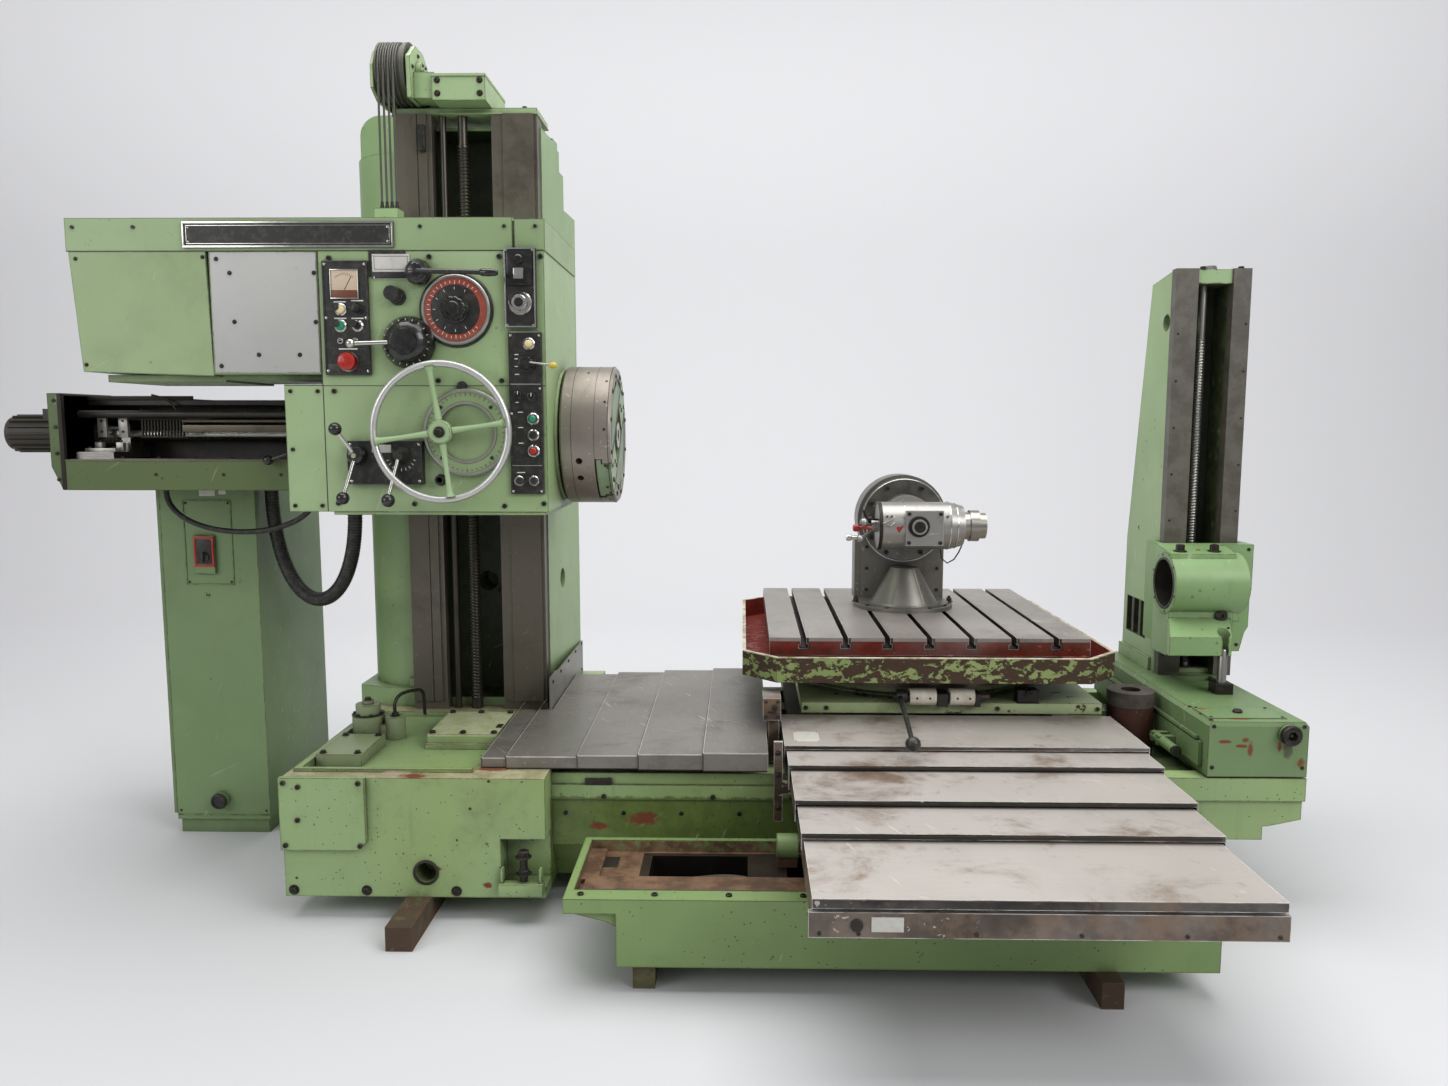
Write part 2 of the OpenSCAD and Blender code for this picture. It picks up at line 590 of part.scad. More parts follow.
// ------------------------------------------------------------ end support
module end_support_base() at() color("yellowgreen") difference() {
  union() {
    hull() {
      bx(1655, 2007, -545, 620, 506, 690);
      bx(1667, 1995, -540, 620, 506, 706);
    }
    // ledge along the left side
    bx(1642, 1656, -500, 620, 530, 618);
    // tongue between the bed walls
    bx(1690, 1970, -450, 600, 466, 507);
    // clamp shaft on the left side
    ry(19, -420, -215, 1595, 560);
    bx(1578, 1644, -300, -270, 542, 578);
    bx(1578, 1644, -245, -218, 542, 578);
    // crank boss
    ry(36, -572, -544, 1935, 663);
  }
  ry(17, -580, -520, 1935, 663);
  // opening for the lower feed shaft
  rz(30, 560, 720, 1880, -130);
  // ways slot in the top
  bx(1800, 1960, 60, 150, 640, 720);
}
module end_support_column() at() color("darkseagreen") difference() {
  union() {
    px([[205, 706], [590, 706], [585, 1250], [417, 2346], [229, 2372], [205, 2376]], 1752, 2046);
    // steel ways
    bx(1748, 1838, 160, 206, 706, tail_top);
    bx(1978, 2050, 160, 206, 706, tail_top);
    bx(1838, 1978, 170, 230, 2320, 2377);
    bx(1740, 2058, 250, 600, 706, 760);
  }
  // recess between the ways
  bx(1838, 1978, 159, 330, 730, 2319);
  // hole and casting openings in the left flank
  rx(34, 1700, 1839, 250, 2172);
  for (i = [0 : 2]) bx(1700, 1790, 330 + 80 * i, 385 + 80 * i, 830, 985);
  rx(34, 1979, 2100, 250, 2172);
  for (i = [0 : 2]) bx(2008, 2100, 330 + 80 * i, 385 + 80 * i, 830, 985);
}
module end_support_screw() at() color("silver") {
  rz(17, 2105, 2319, 1898, 258);
  rz(20, 730, 2106, 1898, 258);
  rz(26, 2377, 2394, 1898, 200);
  // stub of the lower feed shaft with its nut
  rz(18, 706, 880, 1880, -130);
  rz(34, 706, 748, 1880, -130);
}
module bearing_block() at() color("yellowgreen") difference() {
  union() {
    // body: its top falls to the front and its left side opens to the front
    hull() { bx(1712, 1985, 150, 152, 822, 1266); bx(1690, 1945, -60, -58, 838, 1246); }
    // nose under the barrel with a sloping shelf
    hull() { bx(1690, 1935, -62, -60, 845, 990); bx(1664, 1905, -150, -149, 857, 930); }
    // wing at the right and its web
    py([[1941, 1266], [2090, 1266], [2090, 1078], [2084, 1070], [2084, 925], [2070, 900], [2052, 822], [1941, 822]], 100, 152);
    py([[1950, 950], [2046, 950], [2004, 1076]], 96, 101);
    // side wings round the ways
    bx(1712, 1741, 151, 250, 860, 1266);
    bx(2057, 2090, 151, 250, 930, 1266);
    // nut arm in the recess
    bx(1846, 1970, 151, 300, 980, 1160);
    // bearing barrel
    rx(122, 1690, 1981, 0, 1122);
  }
  rx(steady_d / 2, 1600, 2150, 0, 1122);
  rz(21.5, 900, 1300, 1898, 258);
  rz(23, 800, 990, 1880, -130);
}
module round_stand() at() color("firebrick") difference() {
  union() { rz(88, 440, 650, 1546, -85); rz(90, 650, 706, 1546, -85); }
  rz(38, 560, 710, 1546, -85);
}

// ----------------------------------------------------- pump, cabinet, hoses
module coolant_pump() at() color("darkseagreen") {
  bx(-1568, -1400, -480, -220, 500, 545);
  rz(62, 500, 600, -1500, -120);
  rz(48, 600, 640, -1500, -120);
  rz(40, 500, 590, -1392, -120);
  bx(-1470, -1420, -150, -90, 500, 560);
  rz(22, 640, 655, -1500, -120);
}
module electrical_cabinet() at() color("yellowgreen") difference() {
  union() {
    bx(-2430, -2030, 118, 768, 60, 1800);
    bx(-2420, -2040, 128, 758, 0, 60);
    // switch housing on the front
    bx(-2290, -2205, 104, 118, 1130, 1290);
    // round cable socket low on the front
    ry(34, 92, 119, -2235, 150);
    // junction box on the right side, the hose leaves it downwards
    bx(-2031, -1952, 150, 232, 1500, 1600);
  }
  // inside, open to the left where the door is
  bx(-2431, -2045, 135, 752, 80, 1785);
}
module cabinet_door() at() color("yellowgreen") difference() {
  union() {
    bx(-2450, -2436, 128, 750, 84, 1780);
    bx(-2466, -2450, 300, 316, 880, 1000);
    rz(9, 100, 1760, -2443, 750);
  }
}
function bez(a, b, c, d, t) = pow(1 - t, 3) * a + 3 * pow(1 - t, 2) * t * b + 3 * (1 - t) * t * t * c + t * t * t * d;
function unit(v) = v / norm(v);
// tube swept along points, rings kept square to the route
module tube(p, r, n, u) {
  m = len(p) - 1;
  t = [for (i = [0 : m]) unit(i == 0 ? p[1] - p[0] : i == m ? p[m] - p[m - 1] : p[i + 1] - p[i - 1])];
  s = [for (i = [0 : m]) unit(cross(t[i], u))];
  ring = [for (i = [0 : m]) for (k = [0 : n - 1]) p[i] + r * (cos(360 * k / n) * s[i] + sin(360 * k / n) * cross(t[i], s[i]))];
  polyhedron(ring, [
    [for (k = [0 : n - 1]) k],
    for (i = [0 : m - 1]) for (k = [0 : n - 1])
      [i * n + k, (i + 1) * n + k, (i + 1) * n + (k + 1) % n, i * n + (k + 1) % n],
    [for (k = [0 : n - 1]) m * n + n - 1 - k]]);
}
// route: from the junction box down in a loop and up to the headstock
hose_a = [-1990, 190, 1500];
hose_b = [-1990, 190, 880];
hose_c = [-1590, 60, 880];
hose_d = [-1590, 60, 1433];
module hose_bundle() at() color("black")
  tube(concat([hose_a], [for (i = [0 : 26]) bez(hose_a - [0, 0, 20], hose_b, hose_c, hose_d - [0, 0, 20], i / 26)], [hose_d]),
    30, 10, [0.05, 1, 0.03]);
arm_a = [-2300, -60, 1500];
arm_d = [-1700, -60, 1500];
module arm_hose() at() color("black")
  tube(concat([arm_a], [for (i = [0 : 24]) bez(arm_a - [0, 0, 15], arm_a - [0, 0, 230], arm_d - [0, 0, 230], arm_d - [0, 0, 15], i / 24)], [arm_d]),
    11, 8, [0.05, 1, 0.03]);

floor_blocks();
main_bed();
front_support_bed();
rear_support_bed();
column();
column_ways();
column_guard_plate();
lifting_screw();
sheave_bracket();
rope_sheave();
headstock_ropes();
coolant_pump();
electrical_cabinet();
cabinet_door();
headstock_body();
headstock_top_beam();
gear_cover_box();
feed_arm();
feed_motor();
facing_head();
facing_slide();
boring_spindle();
handwheel();
feed_dial();
control_panels();
speed_lever();
feed_lever();
shift_levers();
saddle();
saddle_end_plate();
front_cover_1();
front_cover_2();
front_cover_3();
front_cover_4();
rear_cover_1();
rear_cover_2();
rear_cover_3();
rear_cover_4();
bed_cover_1();
bed_cover_2();
bed_cover_3();
bed_cover_4();
bed_cover_5();
cross_slide();
clamp_lever();
table();
chip_tray();
milling_head_stand();
milling_head();
milling_head_nose();
end_support_base();
end_support_column();
end_support_screw();
bearing_block();
round_stand();
hose_bundle();
arm_hose();
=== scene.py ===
"""Looks of the horizontal boring mill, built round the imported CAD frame.

Pieces are placed in the CAD layout's millimetres (spindle axis at y = 0) and
shifted to the frame by L() and Pile.done().
"""
import math
import random
from math import cos, pi, radians, sin

import bmesh
import bpy
from mathutils import Matrix, Vector


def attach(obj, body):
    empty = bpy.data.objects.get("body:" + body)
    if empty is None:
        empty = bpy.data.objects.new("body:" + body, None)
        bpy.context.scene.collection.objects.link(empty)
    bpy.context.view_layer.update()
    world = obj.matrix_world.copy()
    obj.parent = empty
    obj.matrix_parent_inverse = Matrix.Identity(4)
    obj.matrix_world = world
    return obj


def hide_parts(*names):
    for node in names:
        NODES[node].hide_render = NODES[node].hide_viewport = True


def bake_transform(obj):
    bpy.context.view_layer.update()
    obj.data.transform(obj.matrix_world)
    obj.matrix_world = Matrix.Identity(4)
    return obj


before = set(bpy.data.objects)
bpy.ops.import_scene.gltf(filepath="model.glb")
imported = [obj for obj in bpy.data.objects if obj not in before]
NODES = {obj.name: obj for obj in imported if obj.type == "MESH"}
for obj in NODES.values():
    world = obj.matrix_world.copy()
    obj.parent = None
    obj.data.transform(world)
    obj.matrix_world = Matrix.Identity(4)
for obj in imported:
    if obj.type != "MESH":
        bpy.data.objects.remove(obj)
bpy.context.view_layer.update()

OX, OY = -417.0, 100.0


def L(x, y, z):
    return Vector(((x - OX) / 1000, (y - OY) / 1000, z / 1000))


def lin(r, g, b):
    """8 bit sRGB to a linear colour."""
    def f(v):
        v /= 255.0
        return v / 12.92 if v <= 0.04045 else ((v + 0.055) / 1.055) ** 2.4
    return (f(r), f(g), f(b), 1.0)


# ------------------------------------------------------------------ camera
cam_data = bpy.data.cameras.new("camera")
cam = bpy.data.objects.new("camera", cam_data)
bpy.context.scene.collection.objects.link(cam)
cam_data.sensor_fit = "HORIZONTAL"
cam_data.sensor_width = 36.0
cam_data.lens = 36.0 * 1044.0 / 1448.0
cam_data.clip_end = 100.0
cam.location = L(0, -4180, 1748)
# looking along +Y, 6.42 degrees down and 1.04 degrees to the left
cam.matrix_world = (
    Matrix.Translation(L(0, -4180, 1748))
    @ Matrix.Rotation(radians(1.04), 4, "Z")
    @ Matrix.Rotation(radians(90 - 6.42), 4, "X")
    @ Matrix.Rotation(radians(0.05), 4, "Z")
)
bpy.context.scene.camera = cam


# --------------------------------------------------------------- materials
class G:
    """Small helper round a material's node tree."""

    def __init__(s, name):
        s.mat = bpy.data.materials.new(name)
        s.mat.use_nodes = True
        s.t = s.mat.node_tree
        s.t.nodes.clear()
        s.out = s.t.nodes.new("ShaderNodeOutputMaterial")
        s.b = s.t.nodes.new("ShaderNodeBsdfPrincipled")
        s.t.links.new(s.b.outputs[0], s.out.inputs[0])
        s.tc = s.t.nodes.new("ShaderNodeTexCoord")
        s.co = s.tc.outputs["Object"]
        s._edge = {}

    def put(s, sock, v):
        if isinstance(v, bpy.types.NodeSocket):
            s.t.links.new(v, sock)
        elif isinstance(v, (tuple, list)) and len(v) == 3 and len(sock.default_value) == 4:
            sock.default_value = (*v, 1.0)
        else:
            sock.default_value = v

    def mapped(s, scale=(1, 1, 1), loc=(0, 0, 0), rot=(0, 0, 0), co=None):
        n = s.t.nodes.new("ShaderNodeMapping")
        s.t.links.new(co or s.co, n.inputs["Vector"])
        n.inputs["Scale"].default_value = scale
        n.inputs["Location"].default_value = loc
        n.inputs["Rotation"].default_value = rot
        return n.outputs[0]

    def noise(s, scale, detail=4.0, rough=0.55, dist=0.0, st=None, off=0.0, rot=(0, 0, 0)):
        n = s.t.nodes.new("ShaderNodeTexNoise")
        co = s.mapped(rot=rot) if any(rot) else s.co
        if st or off:
            co = s.mapped(st or (1, 1, 1), (off, off * 0.7, off * 1.3), co=co)
        s.t.links.new(co, n.inputs["Vector"])
        n.inputs["Scale"].default_value = scale
        n.inputs["Detail"].default_value = detail
        n.inputs["Roughness"].default_value = rough
        n.inputs["Distortion"].default_value = dist
        return n.outputs["Fac"]

    def voro(s, scale, st=None, off=0.0, feature="F1", rnd=1.0):
        n = s.t.nodes.new("ShaderNodeTexVoronoi")
        n.feature = feature
        co = s.mapped(st or (1, 1, 1), (off, off, off)) if (st or off) else s.co
        s.t.links.new(co, n.inputs["Vector"])
        n.inputs["Scale"].default_value = scale
        n.inputs["Randomness"].default_value = rnd
        return n.outputs["Distance"]

    def m(s, op, a, b=0.0, c=None, clamp=False):
        n = s.t.nodes.new("ShaderNodeMath")
        n.operation = op
        n.use_clamp = clamp
        s.put(n.inputs[0], a)
        s.put(n.inputs[1], b)
        if c is not None:
            s.put(n.inputs[2], c)
        return n.outputs[0]

    def step(s, v, lo, hi):
        """0 below lo, 1 above hi, smooth between; works downwards too."""
        n = s.t.nodes.new("ShaderNodeMapRange")
        n.interpolation_type = "SMOOTHSTEP"
        s.put(n.inputs["Value"], v)
        n.inputs["From Min"].default_value = lo
        n.inputs["From Max"].default_value = hi
        return n.outputs[0]

    def mix(s, f, a, b, blend="MIX"):
        n = s.t.nodes.new("ShaderNodeMix")
        n.data_type = "RGBA"
        n.blend_type = blend
        n.clamp_factor = True
        s.put(n.inputs[0], f)
        s.put(n.inputs[6], a)
        s.put(n.inputs[7], b)
        return n.outputs[2]

    def fmix(s, f, a, b):
        n = s.t.nodes.new("ShaderNodeMix")
        n.data_type = "FLOAT"
        s.put(n.inputs[0], f)
        s.put(n.inputs[2], a)
        s.put(n.inputs[3], b)
        return n.outputs[0]

    def edge(s, r=0.005, samples=4):
        """1 on convex and concave edges within r."""
        if r not in s._edge:
            bv = s.t.nodes.new("ShaderNodeBevel")
            bv.samples = samples
            bv.inputs["Radius"].default_value = r
            ge = s.t.nodes.new("ShaderNodeNewGeometry")
            d = s.t.nodes.new("ShaderNodeVectorMath")
            d.operation = "DOT_PRODUCT"
            s.t.links.new(bv.outputs[0], d.inputs[0])
            s.t.links.new(ge.outputs["Normal"], d.inputs[1])
            s._edge[r] = s.step(d.outputs["Value"], 0.995, 0.86)
        return s._edge[r]

    def hollow(s, dist=0.08):
        """1 in corners and under overhangs."""
        n = s.t.nodes.new("ShaderNodeAmbientOcclusion")
        n.samples = 4
        n.inputs["Distance"].default_value = dist
        return s.step(n.outputs["AO"], 0.86, 0.42)

    def inward(s, c, top):
        """1 on faces that look at the upright axis through c, and on floors below top."""
        geo = s.t.nodes.new("ShaderNodeNewGeometry")
        n = s.t.nodes.new("ShaderNodeSeparateXYZ")
        s.t.links.new(geo.outputs["Normal"], n.inputs[0])
        x, y, z = s.xyz()
        w = L(c[0], c[1], top)
        d = s.m("ADD", s.m("MULTIPLY", n.outputs[0], s.m("SUBTRACT", x, w.x)), s.m("MULTIPLY", n.outputs[1], s.m("SUBTRACT", y, w.y)))
        floor = s.m("MULTIPLY", s.m("GREATER_THAN", n.outputs[2], 0.5), s.m("LESS_THAN", z, w.z))
        return s.m("MAXIMUM", s.m("LESS_THAN", d, -0.05), floor)

    def up(s):
        """The normal's z: 1 on faces that look up."""
        ge = s.t.nodes.new("ShaderNodeNewGeometry")
        x = s.t.nodes.new("ShaderNodeSeparateXYZ")
        s.t.links.new(ge.outputs["Normal"], x.inputs[0])
        return x.outputs[2]

    def xyz(s):
        x = s.t.nodes.new("ShaderNodeSeparateXYZ")
        s.t.links.new(s.co, x.inputs[0])
        return x.outputs

    def spot(s, c, r, soft=0.5, rag=0.5, scale=30.0):
        """1 inside an ellipsoid at c with half sizes r, both in layout mm, with a ragged rim."""
        c = L(*c)
        r = [v / 1000 for v in r]
        v = s.mapped((1 / r[0], 1 / r[1], 1 / r[2]), (-c[0] / r[0], -c[1] / r[1], -c[2] / r[2]))
        n = s.t.nodes.new("ShaderNodeVectorMath")
        n.operation = "LENGTH"
        s.t.links.new(v, n.inputs[0])
        d = n.outputs["Value"]
        if rag:
            d = s.m("ADD", d, s.m("MULTIPLY", s.m("SUBTRACT", s.noise(scale, 5, 0.65, off=c[0]), 0.5), rag * 2.6))
        return s.step(d, 1.0, 1.0 - soft)

    def zone(s, lo, hi, soft=2.0, rag=0.0, scale=25.0):
        """1 inside a box from lo to hi, in layout mm; soft and rag are widths of its rim in mm."""
        lo, hi = L(*lo), L(*hi)
        x = s.xyz()
        f = None
        for k in range(3):
            a, b = min(lo[k], hi[k]), max(lo[k], hi[k])
            d = s.m("SUBTRACT", s.m("ABSOLUTE", s.m("SUBTRACT", x[k], (a + b) / 2)), (b - a) / 2)
            f = d if f is None else s.m("MAXIMUM", f, d)
        if rag:
            f = s.m("ADD", f, s.m("MULTIPLY", s.m("SUBTRACT", s.noise(scale, 6, 0.7, off=lo[0]), 0.5), rag / 500))
        return s.step(f, soft / 1000, 0.0)

    def bore(s, k, c, r, a, b):
        """1 inside a cylinder of radius r along axis number k from a to b, in layout mm."""
        c = L(*c)
        x = s.xyz()
        q = [s.m("POWER", s.m("SUBTRACT", x[j], c[j]), 2.0) for j in range(3) if j != k]
        d = s.m("SUBTRACT", s.m("SQRT", s.m("ADD", q[0], q[1])), r / 1000)
        a, b = L(a, a, a)[k], L(b, b, b)[k]
        e = s.m("SUBTRACT", s.m("ABSOLUTE", s.m("SUBTRACT", x[k], (a + b) / 2)), (b - a) / 2)
        return s.step(s.m("MAXIMUM", d, e), 0.0008, 0.0)

    def zones(s, c, zs, seed=0.0):
        """paint boxes (lo, hi, colour, second colour, rag mm) over the colour c."""
        for n, z in enumerate(zs):
            if len(z) == 4:
                f, a, b = s.bore(*z[0]), z[1], z[2]
            else:
                f, a, b = s.zone(z[0], z[1], 3.0 + z[4] * 0.3, z[4]), z[2], z[3]
            c = s.mix(f, c, s.mix(s.step(s.noise(13, 7, 0.7, off=seed + n), 0.36, 0.64), a, b))
        return c

    def bump(s, h, dist=0.001, strength=1.0, normal=None):
        n = s.t.nodes.new("ShaderNodeBump")
        n.inputs["Distance"].default_value = dist
        n.inputs["Strength"].default_value = strength
        s.put(n.inputs["Height"], h)
        if normal is not None:
            s.t.links.new(normal, n.inputs["Normal"])
        s.t.links.new(n.outputs[0], s.b.inputs["Normal"])
        return n.outputs[0]

    def set(s, **kw):
        for k, v in kw.items():
            s.put(s.b.inputs[k.replace("_", " ")], v)
        return s


RUST_D = lin(62, 32, 20)
RUST_M = lin(112, 58, 34)
RUST_L = lin(150, 88, 54)
GREEN = lin(147, 172, 122)
GREEN_L = lin(156, 178, 134)
GREEN_Y = lin(142, 164, 104)
PRIMER = lin(176, 186, 150)
DIRT = lin(58, 52, 38)


def rust_colour(g, off=0.0):
    a = g.mix(g.noise(38, 8, 0.7, off=off), RUST_D, RUST_L)
    return g.mix(g.noise(7, 4, 0.6, off=off + 3), a, RUST_M)


def spots_of(g, spots):
    """Ragged patches joined by maximum. Each is (centre, half sizes)."""
    f = None
    for c, r in spots:
        d = g.spot(c, r)
        f = d if f is None else g.m("MAXIMUM", f, d)
    return f


def paint(name, base=GREEN, alt=GREEN_Y, wear=0.5, grime_and_shade=0.5, speck=0.5, chips=0.5, rust=(), bare=(), stains=(),
          rough=0.42, seed=0.0, runs=0.4, edge_r=0.0065, flake=None, under=None, scr=0.35, zones=(), late=(), inner=None):
    """Old machine enamel: tone drift, dirt clouds, runs, speckle, chipped edges, painted shade in corners, rust
    patches.
    """
    g = G(name)
    c = g.mix(g.step(g.noise(1.1, 3, 0.5, off=seed), 0.35, 0.7), base, alt)
    c = g.mix(g.m("MULTIPLY", g.step(g.noise(5.5, 6, 0.65, off=seed + 2), 0.45, 0.75), 0.35), c, tuple(v * 0.82 for v in base[:3]))
    c = g.mix(g.m("MULTIPLY", g.step(g.noise(3.1, 5, 0.6, off=seed + 4), 0.5, 0.8), 0.35), c, tuple(min(1, v * 1.16 + 0.01) for v in base[:3]))
    if zones:
        c = g.zones(c, zones, seed)
    # grime gathers in clouds and runs down the sides
    cl = g.step(g.noise(2.3, 9, 0.72, off=seed + 7), 0.52, 0.82)
    c = g.mix(g.m("MULTIPLY", cl, 0.62 * grime_and_shade), c, DIRT)
    if runs:
        r = g.step(g.noise(30, 4, 0.6, st=(1, 1, 0.05), off=seed + 11), 0.56, 0.8)
        r = g.m("MULTIPLY", r, g.step(g.noise(2.0, 2, off=seed + 12), 0.4, 0.7))
        c = g.mix(g.m("MULTIPLY", r, 0.5 * runs), c, DIRT)
    # light and dark scratches
    s1 = g.step(g.noise(3, 2, 0.5, 0.3, st=(1, 20, 20), off=seed + 17, rot=(0.2, 0.5, 0.1)), 0.70, 0.72)
    s2 = g.step(g.noise(2.4, 2, 0.5, 0.3, st=(20, 20, 1), off=seed + 19, rot=(0.15, -0.35, 0.3)), 0.70, 0.72)
    sm = g.m("MULTIPLY", g.m("MAXIMUM", s1, s2), g.step(g.noise(1.7, 2, off=seed + 20), 0.46, 0.6))
    c = g.mix(g.m("MULTIPLY", sm, scr), c, lin(198, 204, 180))
    # speckle of small dark chips
    v = g.voro(46, off=seed)
    sp = g.m("MULTIPLY", g.step(v, 0.13, 0.09), g.step(g.noise(3.4, 4, 0.7, off=seed + 23), 0.62 - 0.2 * speck, 0.74 - 0.2 * speck))
    v2 = g.voro(17, off=seed + 5)
    sp2 = g.m("MULTIPLY", g.step(v2, 0.12, 0.08), g.step(g.noise(2.1, 3, off=seed + 29), 0.52, 0.62))
    sp = g.m("MULTIPLY", g.m("MAXIMUM", sp, sp2), speck, clamp=True)
    # chipped edges and loose chips
    e = g.edge(edge_r)
    n = g.noise(24, 9, 0.72, off=seed + 31)
    ch = g.step(g.m("ADD", n, g.m("MULTIPLY", e, 0.16 + 0.22 * wear)), 0.735, 0.765)
    field = g.step(g.noise(1.9, 3, off=seed + 37), 0.5, 0.66)
    loose = g.m("MULTIPLY", g.step(g.noise(15, 9, 0.7, off=seed + 41), 0.675 - 0.05 * chips, 0.69 - 0.05 * chips), field)
    ch = g.m("MAXIMUM", ch, loose)
    edge_dirt = g.m("MULTIPLY", e, g.step(g.noise(6, 5, 0.7, off=seed + 47), 0.3, 0.6))
    c = g.mix(g.m("MULTIPLY", edge_dirt, 0.4 * wear + 0.22), c, DIRT)
    # darker in corners and under overhangs through the occlusion mask: painted shade, with grime
    ao = g.m("MULTIPLY", g.hollow(0.09), g.step(g.noise(5, 6, 0.7, off=seed + 49), 0.2, 0.62))
    c = g.mix(g.m("MULTIPLY", ao, 0.5 + 0.35 * grime_and_shade), c, lin(50, 48, 32))
    rc = rust_colour(g, seed)
    und = under or lin(74, 60, 44)
    c = g.mix(ch, c, g.mix(g.noise(11, 5, off=seed + 53), und, RUST_D))
    c = g.mix(sp, c, lin(52, 40, 30))
    rm = None
    if bare:
        bm = spots_of(g, bare)
        c = g.mix(bm, c, g.mix(g.noise(20, 6), lin(186, 176, 158), lin(140, 124, 104)))
    if stains:
        st = spots_of(g, stains)
        c = g.mix(g.m("MULTIPLY", st, 0.75), c, DIRT)
    if rust:
        rm = spots_of(g, rust)
        c = g.mix(rm, c, rc)
    if flake is not None:
        # paint flaked off in sheets: flake is (scale, threshold, bare colour)
        fl = g.step(g.noise(flake[0], 10, 0.68, 0.4, st=(1, 1, 1.6), off=seed + 59), flake[1], flake[1] + 0.012)
        c = g.mix(fl, c, g.mix(g.noise(33, 5, off=seed + 61), flake[2], flake[3]))
        ch = g.m("MAXIMUM", ch, fl)
    if late:
        c = g.zones(c, late, seed + 3)
    if inner is not None:
        c = g.mix(g.inward(inner[0], inner[1]), c, g.mix(g.noise(6, 7, 0.7, off=seed + 5), inner[2], inner[3]))
    g.set(Base_Color=c)
    allr = ch if rm is None else g.m("MAXIMUM", ch, rm)
    r0 = g.m("ADD", g.m("MULTIPLY", g.noise(8, 5, off=seed + 67), 0.22), rough - 0.1)
    g.set(Roughness=g.m("ADD", r0, g.m("MULTIPLY", allr, 0.38), clamp=True), Specular_IOR_Level=0.45)
    h = g.m("SUBTRACT", g.m("MULTIPLY", g.noise(120, 3, off=seed + 71), 0.12), g.m("MULTIPLY", allr, 0.6))
    h = g.m("SUBTRACT", h, g.m("MULTIPLY", sm, 0.15))
    g.bump(h, 0.0012, 0.7)
    return g.mat


